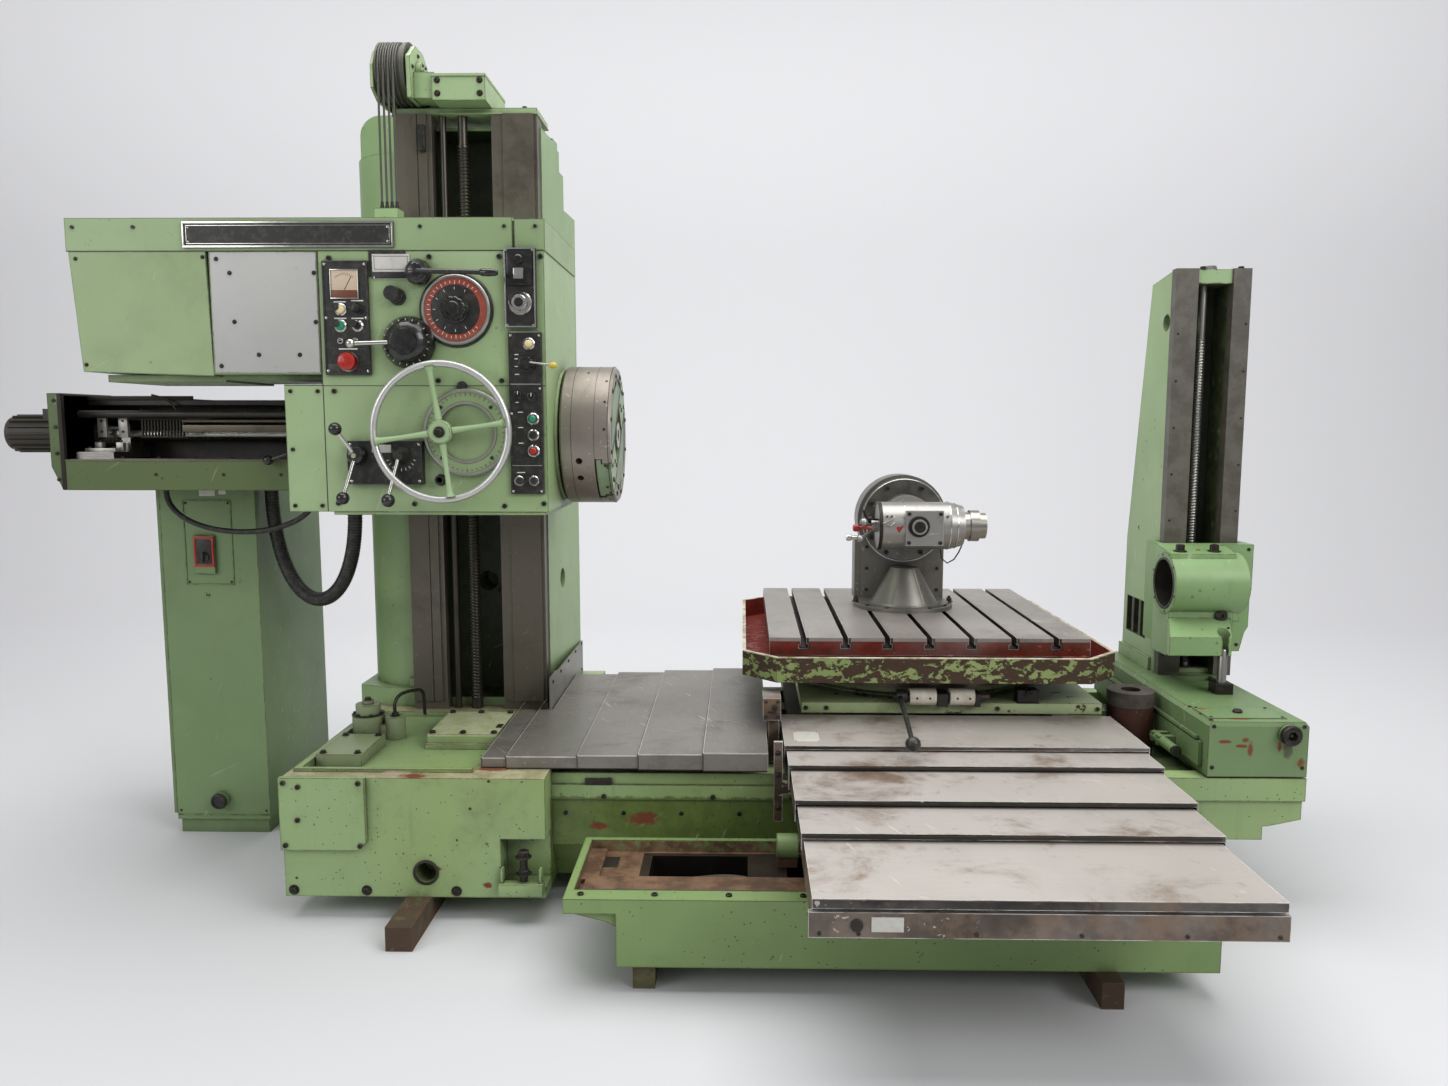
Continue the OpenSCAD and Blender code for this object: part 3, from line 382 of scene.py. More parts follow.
def steel(name, base, dark, stain=None, stain_f=0.4, along="x", rough=0.32, metal=0.9, seed=0.0, bright_edge=0.6,
          scratch=0.5, rust=0.0, spots=(), spot_colour=None, edge_r=0.004, blotch=0.5, edge_colour=None, grain=0.3,
          side=None, zones=(), tone=None):
    """Bare or oily steel: drawn streaks along one axis, clouds of stain, bright edges, scratches."""
    g = G(name)
    st = {"x": (1.5, 60, 60), "y": (60, 1.5, 60), "z": (60, 60, 1.5), "r": (1, 1, 1)}[along]
    br = g.noise(7, 4, 0.6, st=st, off=seed)
    c = g.mix(g.m("MULTIPLY", g.step(br, 0.3, 0.7), grain), base, dark)
    c = g.mix(g.step(g.noise(0.9, 3, 0.5, off=seed + 2), 0.35, 0.7), c, g.mix(0.5, base, dark))
    if tone is not None:
        # tone: (axis, layout mm where it starts, where it is full, colour)
        k = "xyz".index(tone[0])
        v0, v1 = [L(v, v, v)[k] for v in tone[1:3]]
        c = g.mix(g.step(g.xyz()[k], v0, v1), c, tone[3])
    if side is not None:
        # upright faces have another colour
        c = g.mix(g.step(g.up(), 0.5, 0.3), c, g.mix(g.step(g.noise(8, 6, 0.7, off=seed + 3), 0.4, 0.6), side[0], side[1]))
    if zones:
        c = g.zones(c, zones, seed)
    c = g.mix(g.m("MULTIPLY", g.step(g.noise(1.6, 6, 0.62, off=seed + 5), 0.4, 0.75), blotch), c, tuple(v * 0.68 for v in base[:3]))
    if stain is not None:
        sm = g.step(g.noise(3.0, 9, 0.68, 0.3, off=seed + 9), 0.5, 0.72)
        c = g.mix(g.m("MULTIPLY", sm, stain_f), c, stain)
        sm2 = g.step(g.noise(14, 8, 0.72, off=seed + 13), 0.58, 0.72)
        c = g.mix(g.m("MULTIPLY", sm2, stain_f * 0.7), c, tuple(v * 0.7 for v in stain[:3]))
    s1 = g.step(g.noise(2.2, 2, 0.5, 0.25, st=(1, 26, 26), off=seed + 17, rot=(0.1, 0.12, 0.31)), 0.70, 0.72)
    s2 = g.step(g.noise(2.6, 2, 0.5, 0.3, st=(26, 1, 26), off=seed + 21, rot=(0.1, -0.1, -0.42)), 0.70, 0.72)
    s3 = g.step(g.noise(2.0, 2, 0.5, 0.3, st=(1, 22, 22), off=seed + 22, rot=(0.1, 0.1, 1.05)), 0.70, 0.715)
    sc = g.m("MULTIPLY", g.m("MAXIMUM", g.m("MAXIMUM", s1, s2), s3), g.step(g.noise(1.9, 4, 0.6, off=seed + 24), 0.44, 0.62))
    c = g.mix(g.m("MULTIPLY", sc, scratch), c, tuple(min(1, v * 1.7 + 0.05) for v in base[:3]))
    rm = None
    if rust:
        rm = g.step(g.m("ADD", g.noise(4.5, 10, 0.72, off=seed + 27), g.m("MULTIPLY", g.edge(edge_r), 0.1)), 0.74 - 0.3 * rust, 0.84 - 0.3 * rust)
        c = g.mix(g.m("MULTIPLY", rm, 0.85), c, rust_colour(g, seed))
    if spots:
        sp = spots_of(g, spots)
        c = g.mix(sp, c, spot_colour or rust_colour(g, seed + 2))
    e = g.edge(edge_r)
    em = g.m("MULTIPLY", e, g.step(g.noise(9, 6, 0.7, off=seed + 33), 0.3, 0.6))
    c = g.mix(g.m("MULTIPLY", em, bright_edge), c, edge_colour or tuple(min(1, v * 1.6 + 0.06) for v in base[:3]))
    g.set(Base_Color=c)
    rr = g.m("ADD", g.m("MULTIPLY", br, 0.12), rough - 0.08)
    rr = g.m("ADD", rr, g.m("MULTIPLY", g.noise(2.2, 6, 0.6, off=seed + 39), 0.2))
    if rm is not None:
        rr = g.m("ADD", rr, g.m("MULTIPLY", rm, 0.35))
        g.set(Metallic=g.fmix(rm, metal, 0.1))
    else:
        g.set(Metallic=metal)
    g.set(Roughness=g.m("ADD", rr, 0.0, clamp=True))
    h = g.m("ADD", g.m("MULTIPLY", br, 0.25), g.m("MULTIPLY", sc, -0.4))
    g.bump(h, 0.0005, 0.6)
    return g.mat


def plain(name, colour, rough=0.5, metal=0.0, var=0.2, worn=None, bumpy=0.0, seed=0.0, coat=0.0, edge_r=0.0015, dust=0.0):
    """Small parts: plastic, enamel, plated metal."""
    g = G(name)
    c = g.mix(g.m("MULTIPLY", g.noise(26, 5, 0.6, off=seed), var * 2, clamp=True), colour, tuple(v * 0.6 for v in colour[:3]))
    if dust:
        c = g.mix(g.m("MULTIPLY", g.step(g.noise(40, 7, 0.7, off=seed + 1), 0.45, 0.7), dust), c, lin(150, 142, 122))
    if worn is not None:
        e = g.m("MULTIPLY", g.edge(edge_r), g.step(g.noise(60, 5, 0.6, off=seed + 2), 0.35, 0.6))
        c = g.mix(e, c, worn)
    g.set(Base_Color=c, Roughness=g.m("ADD", g.m("MULTIPLY", g.noise(30, 4, off=seed + 3), 0.25), rough - 0.12, clamp=True),
          Metallic=metal)
    if coat:
        g.set(Coat_Weight=coat)
    g.bump(g.noise(160 if not bumpy else 90, 4, 0.6, off=seed + 4), 0.0006, 0.15 + bumpy)
    return g.mat


def assign(node, mat):
    o = NODES[node]
    if not o.material_slots:
        o.data.materials.append(mat)
    for s in o.material_slots:
        s.material = mat


def smooth_cad(angle=30.0):
    """Smooth shading on the round faces of the CAD nodes, sharp where faces meet at an angle."""
    lim = radians(angle)
    for o in NODES.values():
        me = o.data
        bm = bmesh.new()
        bm.from_mesh(me)
        sharp = [e.calc_face_angle(3.0) > lim for e in bm.edges]
        bm.free()
        me.polygons.foreach_set("use_smooth", [True] * len(me.polygons))
        at = me.attributes.get("sharp_edge") or me.attributes.new("sharp_edge", "BOOLEAN", "EDGE")
        at.data.foreach_set("value", sharp)
        me.update()


# looks of the CAD nodes
M = {}
# bed: the zone from (-690, -560, 60) to (1400, -440, 408) darkens the front under the covers; partly its yellow-green
# paint, partly painted shade from the covers above
M["bed"] = paint("bed_paint", GREEN, GREEN_Y, wear=0.75, grime_and_shade=0.75, speck=1.0, chips=0.6, seed=1.3, runs=0.6,
                 zones=[((-1626, -662, 519), (-689, 300, 521.5), lin(184, 180, 146), lin(150, 144, 108), 0), ((-1236, -276, 549), (-950, 120, 600), lin(196, 200, 164), lin(176, 182, 136), 0), ((-1560, -470, 521), (-1390, 120, 549), lin(186, 190, 152), lin(166, 172, 126), 0),
                        ((-690, -560, 60), (1400, -440, 408), lin(104, 124, 62), lin(90, 108, 54), 20), ((-700, -470, 60), (2020, 760, 84), lin(60, 60, 44), lin(50, 46, 34), 0)],
                 rust=[((-360, -532, 330), (75, 30, 32)), ((-520, -520, 300), (50, 30, 20)), ((-1380, -420, 520), (120, 40, 6)),
                       ((-1160, -640, 522), (60, 40, 6)), ((-1080, -662, 190), (26, 12, 12)), ((-1500, -500, 520), (60, 60, 6)), ((-1100, -330, 520), (46, 50, 6)), ((-1180, -420, 520), (30, 30, 6)), ((-900, -560, 520), (70, 26, 6)), ((-1590, -640, 150), (20, 20, 16)), ((-900, -662, 130), (22, 12, 14))],
                 bare=[((-1235, -610, 522), (70, 34, 6))])
# support beds: the near-black late boxes from z 84 to 261.4 under the troughs are painted shade in the hollows there
M["support"] = paint("support_paint", lin(128, 152, 96), lin(112, 140, 84), wear=1.0, grime_and_shade=0.6, speck=1.1, chips=1.0, seed=4.1, runs=0.3,
                     late=[((-523, -1058, 255), (1438, -667, 296), lin(124, 96, 74), lin(84, 62, 47), 16), ((-523, 867, 255), (1438, 1258, 296), lin(134, 108, 84), lin(96, 72, 54), 16),
                           ((-340, -930, 84), (280, -680, 261.4), lin(12, 10, 8), lin(20, 17, 13), 0), ((-340, 880, 84), (280, 1130, 261.4), lin(12, 10, 8), lin(20, 17, 13), 0)])
# column: the dark zone between the ways is painted shade in the recess
M["column"] = paint("column_paint", GREEN, lin(134, 160, 116), wear=0.45, grime_and_shade=0.5, speck=0.35, chips=0.25, seed=7.7, runs=0.5,
                    zones=[((-1281, 218, 558), (-1033, 480, 2962), lin(52, 64, 34), lin(36, 44, 26), 0)])
M["head"] = paint("head_paint", GREEN_L, GREEN, wear=0.75, grime_and_shade=0.45, speck=0.6, chips=0.4, seed=9.2, runs=0.2)
M["beam"] = paint("beam_paint", lin(146, 169, 125), lin(136, 158, 114), wear=0.9, grime_and_shade=0.5, speck=0.5, chips=0.6, seed=12.5, runs=0.15)
M["gear"] = paint("gear_paint", lin(150, 171, 126), lin(138, 160, 114), wear=0.75, grime_and_shade=0.4, speck=0.4, chips=0.4, seed=14.5, runs=0.3)
M["arm"] = paint("arm_paint", lin(88, 106, 61), lin(75, 92, 52), wear=0.8, grime_and_shade=0.95, speck=0.9, chips=0.6, seed=17.0, runs=0.6,
                 late=[((-2591, -211, 1529), (-1688, 94.5, 1862), lin(44, 37, 27), lin(27, 23, 18), 0)])
M["cab"] = paint("cabinet_paint", lin(121, 144, 100), lin(111, 135, 91), wear=0.35, grime_and_shade=0.35, speck=0.25, chips=0.15, seed=21.0, runs=0.5)
M["tray"] = paint("tray_paint", lin(124, 142, 84), lin(140, 154, 98), wear=0.9, grime_and_shade=0.6, speck=0.8, chips=1.0, seed=24.0, runs=0.3,
                  flake=(21, 0.462, lin(46, 32, 22), lin(72, 52, 35)),
                  late=[((-60, -300, 866.3), (1530, 1230, 869), lin(204, 198, 176), lin(140, 124, 96), 0)], inner=((735, 465), 860, lin(136, 43, 26), lin(102, 31, 18)))
M["slide"] = paint("slide_paint", lin(176, 190, 146), lin(158, 176, 128), wear=0.9, grime_and_shade=0.9, speck=0.9, chips=0.8, seed=27.0, runs=0.3,
                   flake=(9.0, 0.60, lin(48, 38, 28), lin(82, 64, 46)),
                   late=[((650, -225, 665), (752, -156, 735), lin(206, 200, 188), lin(176, 166, 150), 0), ((806, -225, 665), (900, -156, 735), lin(206, 200, 188), lin(176, 166, 150), 0),
                         ((590, -204, 686), (650, -176, 714), lin(40, 36, 30), lin(60, 54, 46), 0), ((752, -204, 686), (806, -176, 714), lin(70, 62, 52), lin(40, 34, 28), 0),
                         ((900, -204, 686), (965, -176, 714), lin(40, 36, 30), lin(60, 54, 46), 0), ((756, -210, 660), (802, -118, 713), lin(36, 32, 28), lin(52, 46, 38), 0),
                         ((903, -210, 660), (927, -118, 713), lin(36, 32, 28), lin(52, 46, 38), 0), ((1078, -166, 667), (1162, -98, 720), lin(24, 24, 22), lin(36, 34, 30), 0),
                         ((320, -12, 540), (450, 945, 622), lin(120, 112, 98), lin(92, 84, 70), 0), ((1140, -12, 540), (1270, 945, 622), lin(120, 112, 98), lin(92, 84, 70), 0)])
M["tail"] = paint("tail_paint", lin(155, 179, 132), lin(140, 165, 118), wear=0.6, grime_and_shade=0.4, speck=0.5, chips=0.4, seed=31.0, runs=0.4,
                  zones=[((1837, 158, 728), (1979, 340, 2320), lin(70, 84, 52), lin(46, 54, 34), 12)],
                  late=[((1730, 150, 704), (1838, 206.5, 2390), lin(94, 90, 81), lin(76, 72, 63), 0), ((1978, 150, 704), (2060, 206.5, 2390), lin(90, 86, 77), lin(72, 68, 60), 0),
                        ((1830, 327, 728), (1980, 332, 2320), lin(44, 50, 34), lin(34, 36, 26), 0), ((1690, 325, 828), (2110, 550, 986), lin(64, 70, 46), lin(40, 40, 28), 0)])
M["tailbase"] = paint("tailbase_paint", lin(111, 136, 91), lin(98, 122, 79), wear=0.95, grime_and_shade=0.6, speck=1.0, chips=1.0, seed=34.0, runs=0.5,
                      rust=[((1713, -546, 634), (34, 16, 9)), ((1786, -546, 641), (15, 16, 12)), ((1803, -546, 606), (14, 16, 34)), ((1770, -546, 618), (24, 16, 8)), ((1905, -546, 618), (10, 14, 26)), ((1985, -530, 560), (20, 30, 26)), ((1700, -380, 706), (40, 14, 6)), ((1780, -506, 706), (50, 8, 6))],
                      stains=[((1935, -548, 610), (22, 14, 50))])
M["bearing"] = paint("bearing_paint", lin(130, 160, 108), lin(116, 144, 94), wear=0.5, grime_and_shade=0.35, speck=0.5, chips=0.4, seed=37.0, runs=0.4,
                     late=[((0, (1835, 0, 1122), 96.5, 1692, 1979), lin(30, 27, 23), lin(46, 42, 36), 0)])
M["bracket"] = paint("bracket_paint", GREEN_L, GREEN, wear=0.7, grime_and_shade=0.5, speck=0.6, chips=0.6, seed=41.0, runs=0.3)
M["pump"] = paint("pump_paint", lin(140, 152, 116), lin(120, 136, 100), wear=0.5, grime_and_shade=0.9, speck=0.6, chips=0.3, seed=44.0, runs=0.5)
M["blocks"] = steel("block_iron", lin(84, 66, 50), lin(52, 40, 30), lin(112, 124, 78), 0.75, "x", 0.75, 0.1, 3.0, 0.3, 0.4, rust=0.6)
M["ways"] = steel("way_steel", lin(112, 106, 96), lin(84, 78, 68), lin(60, 50, 38), 0.55, "z", 0.36, 0.6, 5.0, 0.5, 0.4, rust=0.08)
M["guard"] = steel("guard_steel", lin(150, 148, 142), lin(122, 120, 114), lin(92, 84, 72), 0.4, "y", 0.38, 0.7, 6.0, 0.5, 0.5)
M["screw"] = steel("screw_steel", lin(96, 88, 76), lin(62, 54, 44), lin(40, 32, 24), 0.6, "z", 0.36, 0.8, 8.0, 0.2, 0.2)
M["sheave"] = steel("sheave_iron", lin(96, 96, 86), lin(62, 62, 54), lin(46, 42, 34), 0.5, "r", 0.45, 0.5, 11.0, 0.6, 0.3)
M["rope"] = steel("rope_steel", lin(112, 110, 104), lin(72, 70, 64), lin(46, 42, 36), 0.5, "z", 0.45, 0.8, 12.0, 0.0, 0.0)
M["facing"] = steel("facing_steel", lin(152, 144, 135), lin(124, 115, 106), lin(92, 76, 62), 0.4, "r", 0.34, 0.7, 13.0, 0.8, 0.6, rust=0.05,
                    zones=[((0, (-500, 0, 1710), 222.5, -507, -490), lin(142, 162, 130), lin(112, 132, 98), 0)])
M["facing_in"] = steel("facing_inner", lin(130, 128, 112), lin(98, 100, 82), lin(70, 60, 46), 0.5, "r", 0.4, 0.7, 14.0, 0.6, 0.5)
M["facegreen"] = paint("facing_paint", lin(146, 166, 134), lin(128, 150, 114), wear=0.8, grime_and_shade=0.7, speck=0.7, chips=0.7, seed=95.0, runs=0.0)
M["spindle"] = steel("spindle_steel", lin(186, 184, 178), lin(150, 148, 142), lin(110, 100, 88), 0.25, "x", 0.2, 1.0, 15.0, 0.3, 0.2)
# covers: the near-black colour on upright faces is painted shade under each segment's front lip
M["cover"] = steel("cover_steel", lin(178, 172, 165), lin(146, 138, 129), lin(112, 90, 70), 0.95, "x", 0.4, 0.35, 16.0, 0.95, 0.45,
                   rust=0.02, edge_r=0.004, edge_colour=lin(250, 246, 240), blotch=0.75, side=(lin(46, 41, 36), lin(26, 23, 20)),
                   tone=("y", -300, -640, lin(186, 179, 173)))
M["bedcover"] = steel("bedcover_steel", lin(146, 141, 134), lin(110, 105, 97), lin(74, 64, 54), 0.6, "y", 0.32, 0.5, 18.0, 0.95, 0.75,
                      rust=0.05, edge_r=0.004, edge_colour=lin(222, 216, 206), blotch=0.75)
# end plates: the near-black bands from z 493.5 to 525 are painted shadow in the gap under the top plate
M["endplate"] = steel("endplate_steel", lin(194, 188, 182), lin(166, 158, 150), lin(130, 106, 86), 0.85, "x", 0.4, 0.3, 20.0, 0.95, 0.45, rust=0.02,
                      edge_colour=lin(250, 246, 240), blotch=0.5, side=(lin(104, 84, 66), lin(66, 52, 40)),
                      zones=[((150, -1600, 493.5), (1440, -1575, 525), lin(24, 20, 17), lin(34, 28, 24), 0), ((150, 1775, 493.5), (1440, 1800, 525), lin(24, 20, 17), lin(34, 28, 24), 0)])
M["saddle"] = steel("saddle_iron", lin(84, 80, 62), lin(56, 52, 40), lin(40, 32, 24), 0.6, "y", 0.46, 0.3, 22.0, 0.4, 0.4, rust=0.15)
# table: the dark boxes along the T-slots (19.5 and 15 half widths) are painted shade inside the slots; the red zone is
# the table's paint
M["table"] = steel("table_iron", lin(160, 154, 147), lin(128, 122, 115), lin(90, 76, 62), 0.55, "y", 0.36, 0.5, 24.0, 0.8, 0.55,
                   rust=0.06, edge_r=0.004, edge_colour=lin(236, 230, 222), blotch=0.7,
                   zones=[((-900, -1500, 700), (2400, 2500, 908), lin(130, 40, 24), lin(96, 28, 17), 0)] +
                   [((735 + (i - 3) * 164 - w, -900, a), (735 + (i - 3) * 164 + w, 1900, b), lin(26, 22, 18), lin(40, 34, 28), 0)
                    for i in range(7) for w, a, b in ((19.5, 878, 898.4), (15, 897, 922.5))])
# round stand: the near-black zone from z 500 to 703 in its top centre is painted shade inside the bore
M["stand_red"] = steel("stand_rust", lin(70, 31, 20), lin(48, 22, 14), lin(42, 20, 14), 0.6, "z", 0.6, 0.05, 26.0, 0.25, 0.5, rust=0.1,
                       zones=[((1440, -190, 649), (1650, 20, 710), lin(82, 78, 70), lin(60, 56, 50), 0), ((1506, -125, 500), (1586, -45, 703), lin(24, 20, 17), lin(34, 28, 24), 0)])
M["silver"] = steel("silver_paint", lin(174, 172, 168), lin(138, 135, 130), lin(92, 84, 74), 0.45, "r", 0.28, 0.8, 51.0, 0.85, 0.6,
                    rust=0.03, blotch=0.5, edge_colour=lin(232, 230, 226),
                    zones=[((430, 540, 1100), (1050, 650, 1540), lin(104, 103, 98), lin(82, 81, 76), 0)])
M["flange"] = steel("stand_steel", lin(132, 129, 122), lin(88, 85, 79), lin(66, 58, 48), 0.5, "r", 0.32, 0.75, 53.0, 0.8, 0.5, rust=0.06)
M["nose"] = steel("nose_steel", lin(170, 166, 158), lin(128, 122, 112), lin(96, 84, 70), 0.3, "r", 0.26, 1.0, 28.0, 0.4, 0.3)
M["tailscrew"] = steel("tailscrew_steel", lin(178, 176, 170), lin(120, 118, 112), lin(90, 84, 76), 0.3, "z", 0.26, 0.95, 29.0, 0.2, 0.2)
M["black"] = plain("black_enamel", lin(30, 30, 28), 0.42, 0.0, 0.2, lin(110, 106, 96), seed=1.0, dust=0.12)
M["bakelite"] = plain("black_plastic", lin(20, 20, 20), 0.26, 0.0, 0.2, seed=2.0, coat=0.3, dust=0.08)
M["plated"] = plain("plated_steel", lin(206, 204, 198), 0.22, 1.0, 0.15, seed=3.0)
M["rim"] = plain("wheel_rim", lin(206, 206, 202), 0.36, 0.75, 0.08, seed=4.0)
M["rubber"] = plain("hose_rubber", lin(34, 33, 31), 0.5, 0.0, 0.25, seed=5.0, dust=0.12, bumpy=0.2)
M["bolt"] = plain("bolt_black", lin(44, 40, 36), 0.42, 0.6, 0.3, lin(128, 120, 108), seed=6.0, dust=0.1)
M["motor"] = paint("motor_paint", lin(60, 60, 54), lin(46, 44, 40), wear=0.5, grime_and_shade=0.8, speck=0.3, chips=0.2, seed=61.0, rough=0.5)

LOOK = {
    "floor_blocks": "blocks", "main_bed": "bed", "front_support_bed": "support", "rear_support_bed": "support",
    "column": "column", "column_ways": "ways", "column_guard_plate": "guard", "lifting_screw": "screw",
    "sheave_bracket": "bracket", "rope_sheave": "sheave", "headstock_ropes": "rope", "coolant_pump": "pump",
    "electrical_cabinet": "cab", "cabinet_door": "cab", "headstock_body": "head", "headstock_top_beam": "beam",
    "gear_cover_box": "gear", "feed_arm": "arm", "feed_motor": "motor", "facing_head": "facing",
    "facing_slide": "facegreen", "boring_spindle": "spindle", "handwheel": "rim", "feed_dial": "gear",
    "control_panels": "black", "speed_lever": "bakelite", "feed_lever": "bakelite", "shift_levers": "bakelite",
    "saddle": "saddle", "saddle_end_plate": "endplate", "cross_slide": "slide", "clamp_lever": "bakelite",
    "table": "table", "chip_tray": "tray", "milling_head_stand": "flange", "milling_head": "silver",
    "milling_head_nose": "nose", "end_support_base": "tailbase", "end_support_column": "tail",
    "end_support_screw": "tailscrew", "bearing_block": "bearing", "round_stand": "stand_red",
    "hose_bundle": "rubber", "arm_hose": "rubber",
}
for i in (1, 2, 3, 4):
    LOOK[f"front_cover_{i}"] = "cover"
    LOOK[f"rear_cover_{i}"] = "cover"
for i in (1, 2, 3, 4, 5):
    LOOK[f"bed_cover_{i}"] = "bedcover"
for n, k in LOOK.items():
    assign(n, M[k])
smooth_cad()

#PARTS>>>
# ------------------------------------------------------------ mesh building
PILES = {}


def basis(axis):
    z = Vector(axis).normalized()
    a = Vector((0, 0, 1)) if abs(z.z) < 0.9 else Vector((1, 0, 0))
    x = a.cross(z).normalized()
    return x, z.cross(x), z


class Pile:
    """Parts of one kind, one body and one material, gathered in one mesh, in layout mm."""

    def __init__(s, name, body, mat, rep=()):
        s.name, s.body, s.mat, s.rep = name, body, mat, rep
        s.bm = bmesh.new()
        PILES[name] = s

    def lathe(s, p, axis, prof, seg=28, star=None):
        """prof: (radius, height along axis) from bottom to top; star: radius factor by angle."""
        p = Vector(p)
        x, y, z = basis(axis)
        rings = []
        for r, h in prof:
            if r <= 1e-6:
                rings.append([s.bm.verts.new(p + z * h)])
                continue
            ring = []
            for i in range(seg):
                a = 2 * pi * i / seg
                k = r * (star(a) if star else 1.0)
                ring.append(s.bm.verts.new(p + z * h + (x * cos(a) + y * sin(a)) * k))
            rings.append(ring)
        for a, b in zip(rings, rings[1:]):
            for i in range(seg):
                j = (i + 1) % seg
                if len(a) == 1 and len(b) == 1:
                    continue
                if len(a) == 1:
                    s.bm.faces.new((a[0], b[j], b[i]))
                elif len(b) == 1:
                    s.bm.faces.new((a[i], a[j], b[0]))
                else:
                    s.bm.faces.new((a[i], a[j], b[j], b[i]))
        if len(rings[0]) > 1:
            s.bm.faces.new(list(reversed(rings[0])))
        if len(rings[-1]) > 1:
            s.bm.faces.new(rings[-1])
        return s

    def ring(s, p, axis, prof, seg=48):
        """closed cross-section turned round the axis (a collar, groove or frame ring)."""
        p = Vector(p)
        x, y, z = basis(axis)
        n = len(prof)
        vs = []
        for i in range(seg):
            a = 2 * pi * i / seg
            d = x * cos(a) + y * sin(a)
            vs.append([s.bm.verts.new(p + z * h + d * r) for r, h in prof])
        for i in range(seg):
            a, b = vs[i], vs[(i + 1) % seg]
            for k in range(n):
                s.bm.faces.new((a[k], b[k], b[(k + 1) % n], a[(k + 1) % n]))
        return s

    def cyl(s, a, b, r, seg=28, ch=0.8):
        a, b = Vector(a), Vector(b)
        h = (b - a).length
        ch = min(ch, r * 0.4, h * 0.4)
        return s.lathe(a, b - a, [(r - ch, 0), (r, ch), (r, h - ch), (r - ch, h)], seg)

    def torus(s, p, axis, R, r, seg=64, rs=12):
        return s.ring(p, axis, [(R + r * cos(2 * pi * k / rs), -r * sin(2 * pi * k / rs)) for k in range(rs)], seg)

    def ball(s, p, r, axis=(0, 0, 1), seg=20, sq=1.0):
        n = seg // 2
        prof = [(r * sin(pi * i / n) if 0 < i < n else 0, -r * sq * cos(pi * i / n)) for i in range(n + 1)]
        return s.lathe(p, axis, prof, seg)

    def box(s, lo, hi, bev=1.0, rot=None, about=None):
        lo, hi = Vector(lo), Vector(hi)
        c = (lo + hi) / 2
        r = bmesh.ops.create_cube(s.bm, size=1.0)
        vs = r["verts"]
        for v in vs:
            v.co = Vector((v.co.x * (hi.x - lo.x), v.co.y * (hi.y - lo.y), v.co.z * (hi.z - lo.z))) + c
        es = list({e for v in vs for e in v.link_edges})
        bev = min(bev, 0.45 * min(hi - lo))
        if bev > 0.05:
            q = bmesh.ops.bevel(s.bm, geom=es, offset=bev, segments=2, affect="EDGES", profile=0.6)
            vs = list({v for f in q["faces"] for v in f.verts} | {v for v in vs if v.is_valid})
        if rot is not None:
            p = Vector(about) if about is not None else c
            for v in vs:
                v.co = rot @ (v.co - p) + p
        return s

    def tube(s, pts, r, seg=10, closed=False, rf=None):
        pts = [Vector(p) for p in pts]
        n = len(pts)
        rings, prev = [], None
        for i, p in enumerate(pts):
            if closed:
                t = pts[(i + 1) % n] - pts[i - 1]
            else:
                t = pts[min(i + 1, n - 1)] - pts[max(i - 1, 0)]
            t.normalize()
            if prev is None:
                x, y, _ = basis(t)
            else:
                x = (prev - t * prev.dot(t)).normalized()
                y = t.cross(x)
            prev = x
            k = r * (rf(i, n) if rf else 1.0)
            rings.append([s.bm.verts.new(p + (x * cos(2 * pi * j / seg) + y * sin(2 * pi * j / seg)) * k) for j in range(seg)])
        m = n if closed else n - 1
        for i in range(m):
            a, b = rings[i], rings[(i + 1) % n]
            for j in range(seg):
                s.bm.faces.new((a[j], a[(j + 1) % seg], b[(j + 1) % seg], b[j]))
        if not closed:
            s.bm.faces.new(list(reversed(rings[0])))
            s.bm.faces.new(rings[-1])
        return s

    def hexhead(s, p, axis, af, h, turn=0.0, washer=True):
        """bolt head: washer, hexagon with a chamfered top."""
        x, y, z = basis(axis)
        p = Vector(p)
        if washer:
            s.lathe(p, axis, [(af * 0.82, 0), (af * 0.85, h * 0.06), (af * 0.85, h * 0.16), (af * 0.8, h * 0.2)], 24)
            p = p + z * h * 0.18
        R = af / 2 / cos(pi / 6)
        levels = [(R, 0), (R, h * 0.84), (R * 0.86, h)]
        rings = []
        for k, (r, hh) in enumerate(levels):
            seg = 6
            rings.append([s.bm.verts.new(p + z * hh + (x * cos(turn + 2 * pi * i / seg) + y * sin(turn + 2 * pi * i / seg)) * r) for i in range(seg)])
        for a, b in zip(rings, rings[1:]):
            for i in range(6):
                s.bm.faces.new((a[i], a[(i + 1) % 6], b[(i + 1) % 6], b[i]))
        s.bm.faces.new(rings[-1])
        s.bm.faces.new(list(reversed(rings[0])))
        return s

    def cap(s, p, axis, r, h):
        """socket head cap screw: plain round head and a hexagon socket."""
        x, y, z = basis(axis)
        p = Vector(p)
        seg = 24
        prof = [(r, 0), (r, h * 0.85), (r * 0.9, h), (r * 0.56, h)]
        rings = [[s.bm.verts.new(p + z * hh + (x * cos(2 * pi * i / seg) + y * sin(2 * pi * i / seg)) * rr) for i in range(seg)] for rr, hh in prof]
        for a, b in zip(rings, rings[1:]):
            for i in range(seg):
                s.bm.faces.new((a[i], a[(i + 1) % seg], b[(i + 1) % seg], b[i]))
        s.bm.faces.new(list(reversed(rings[0])))

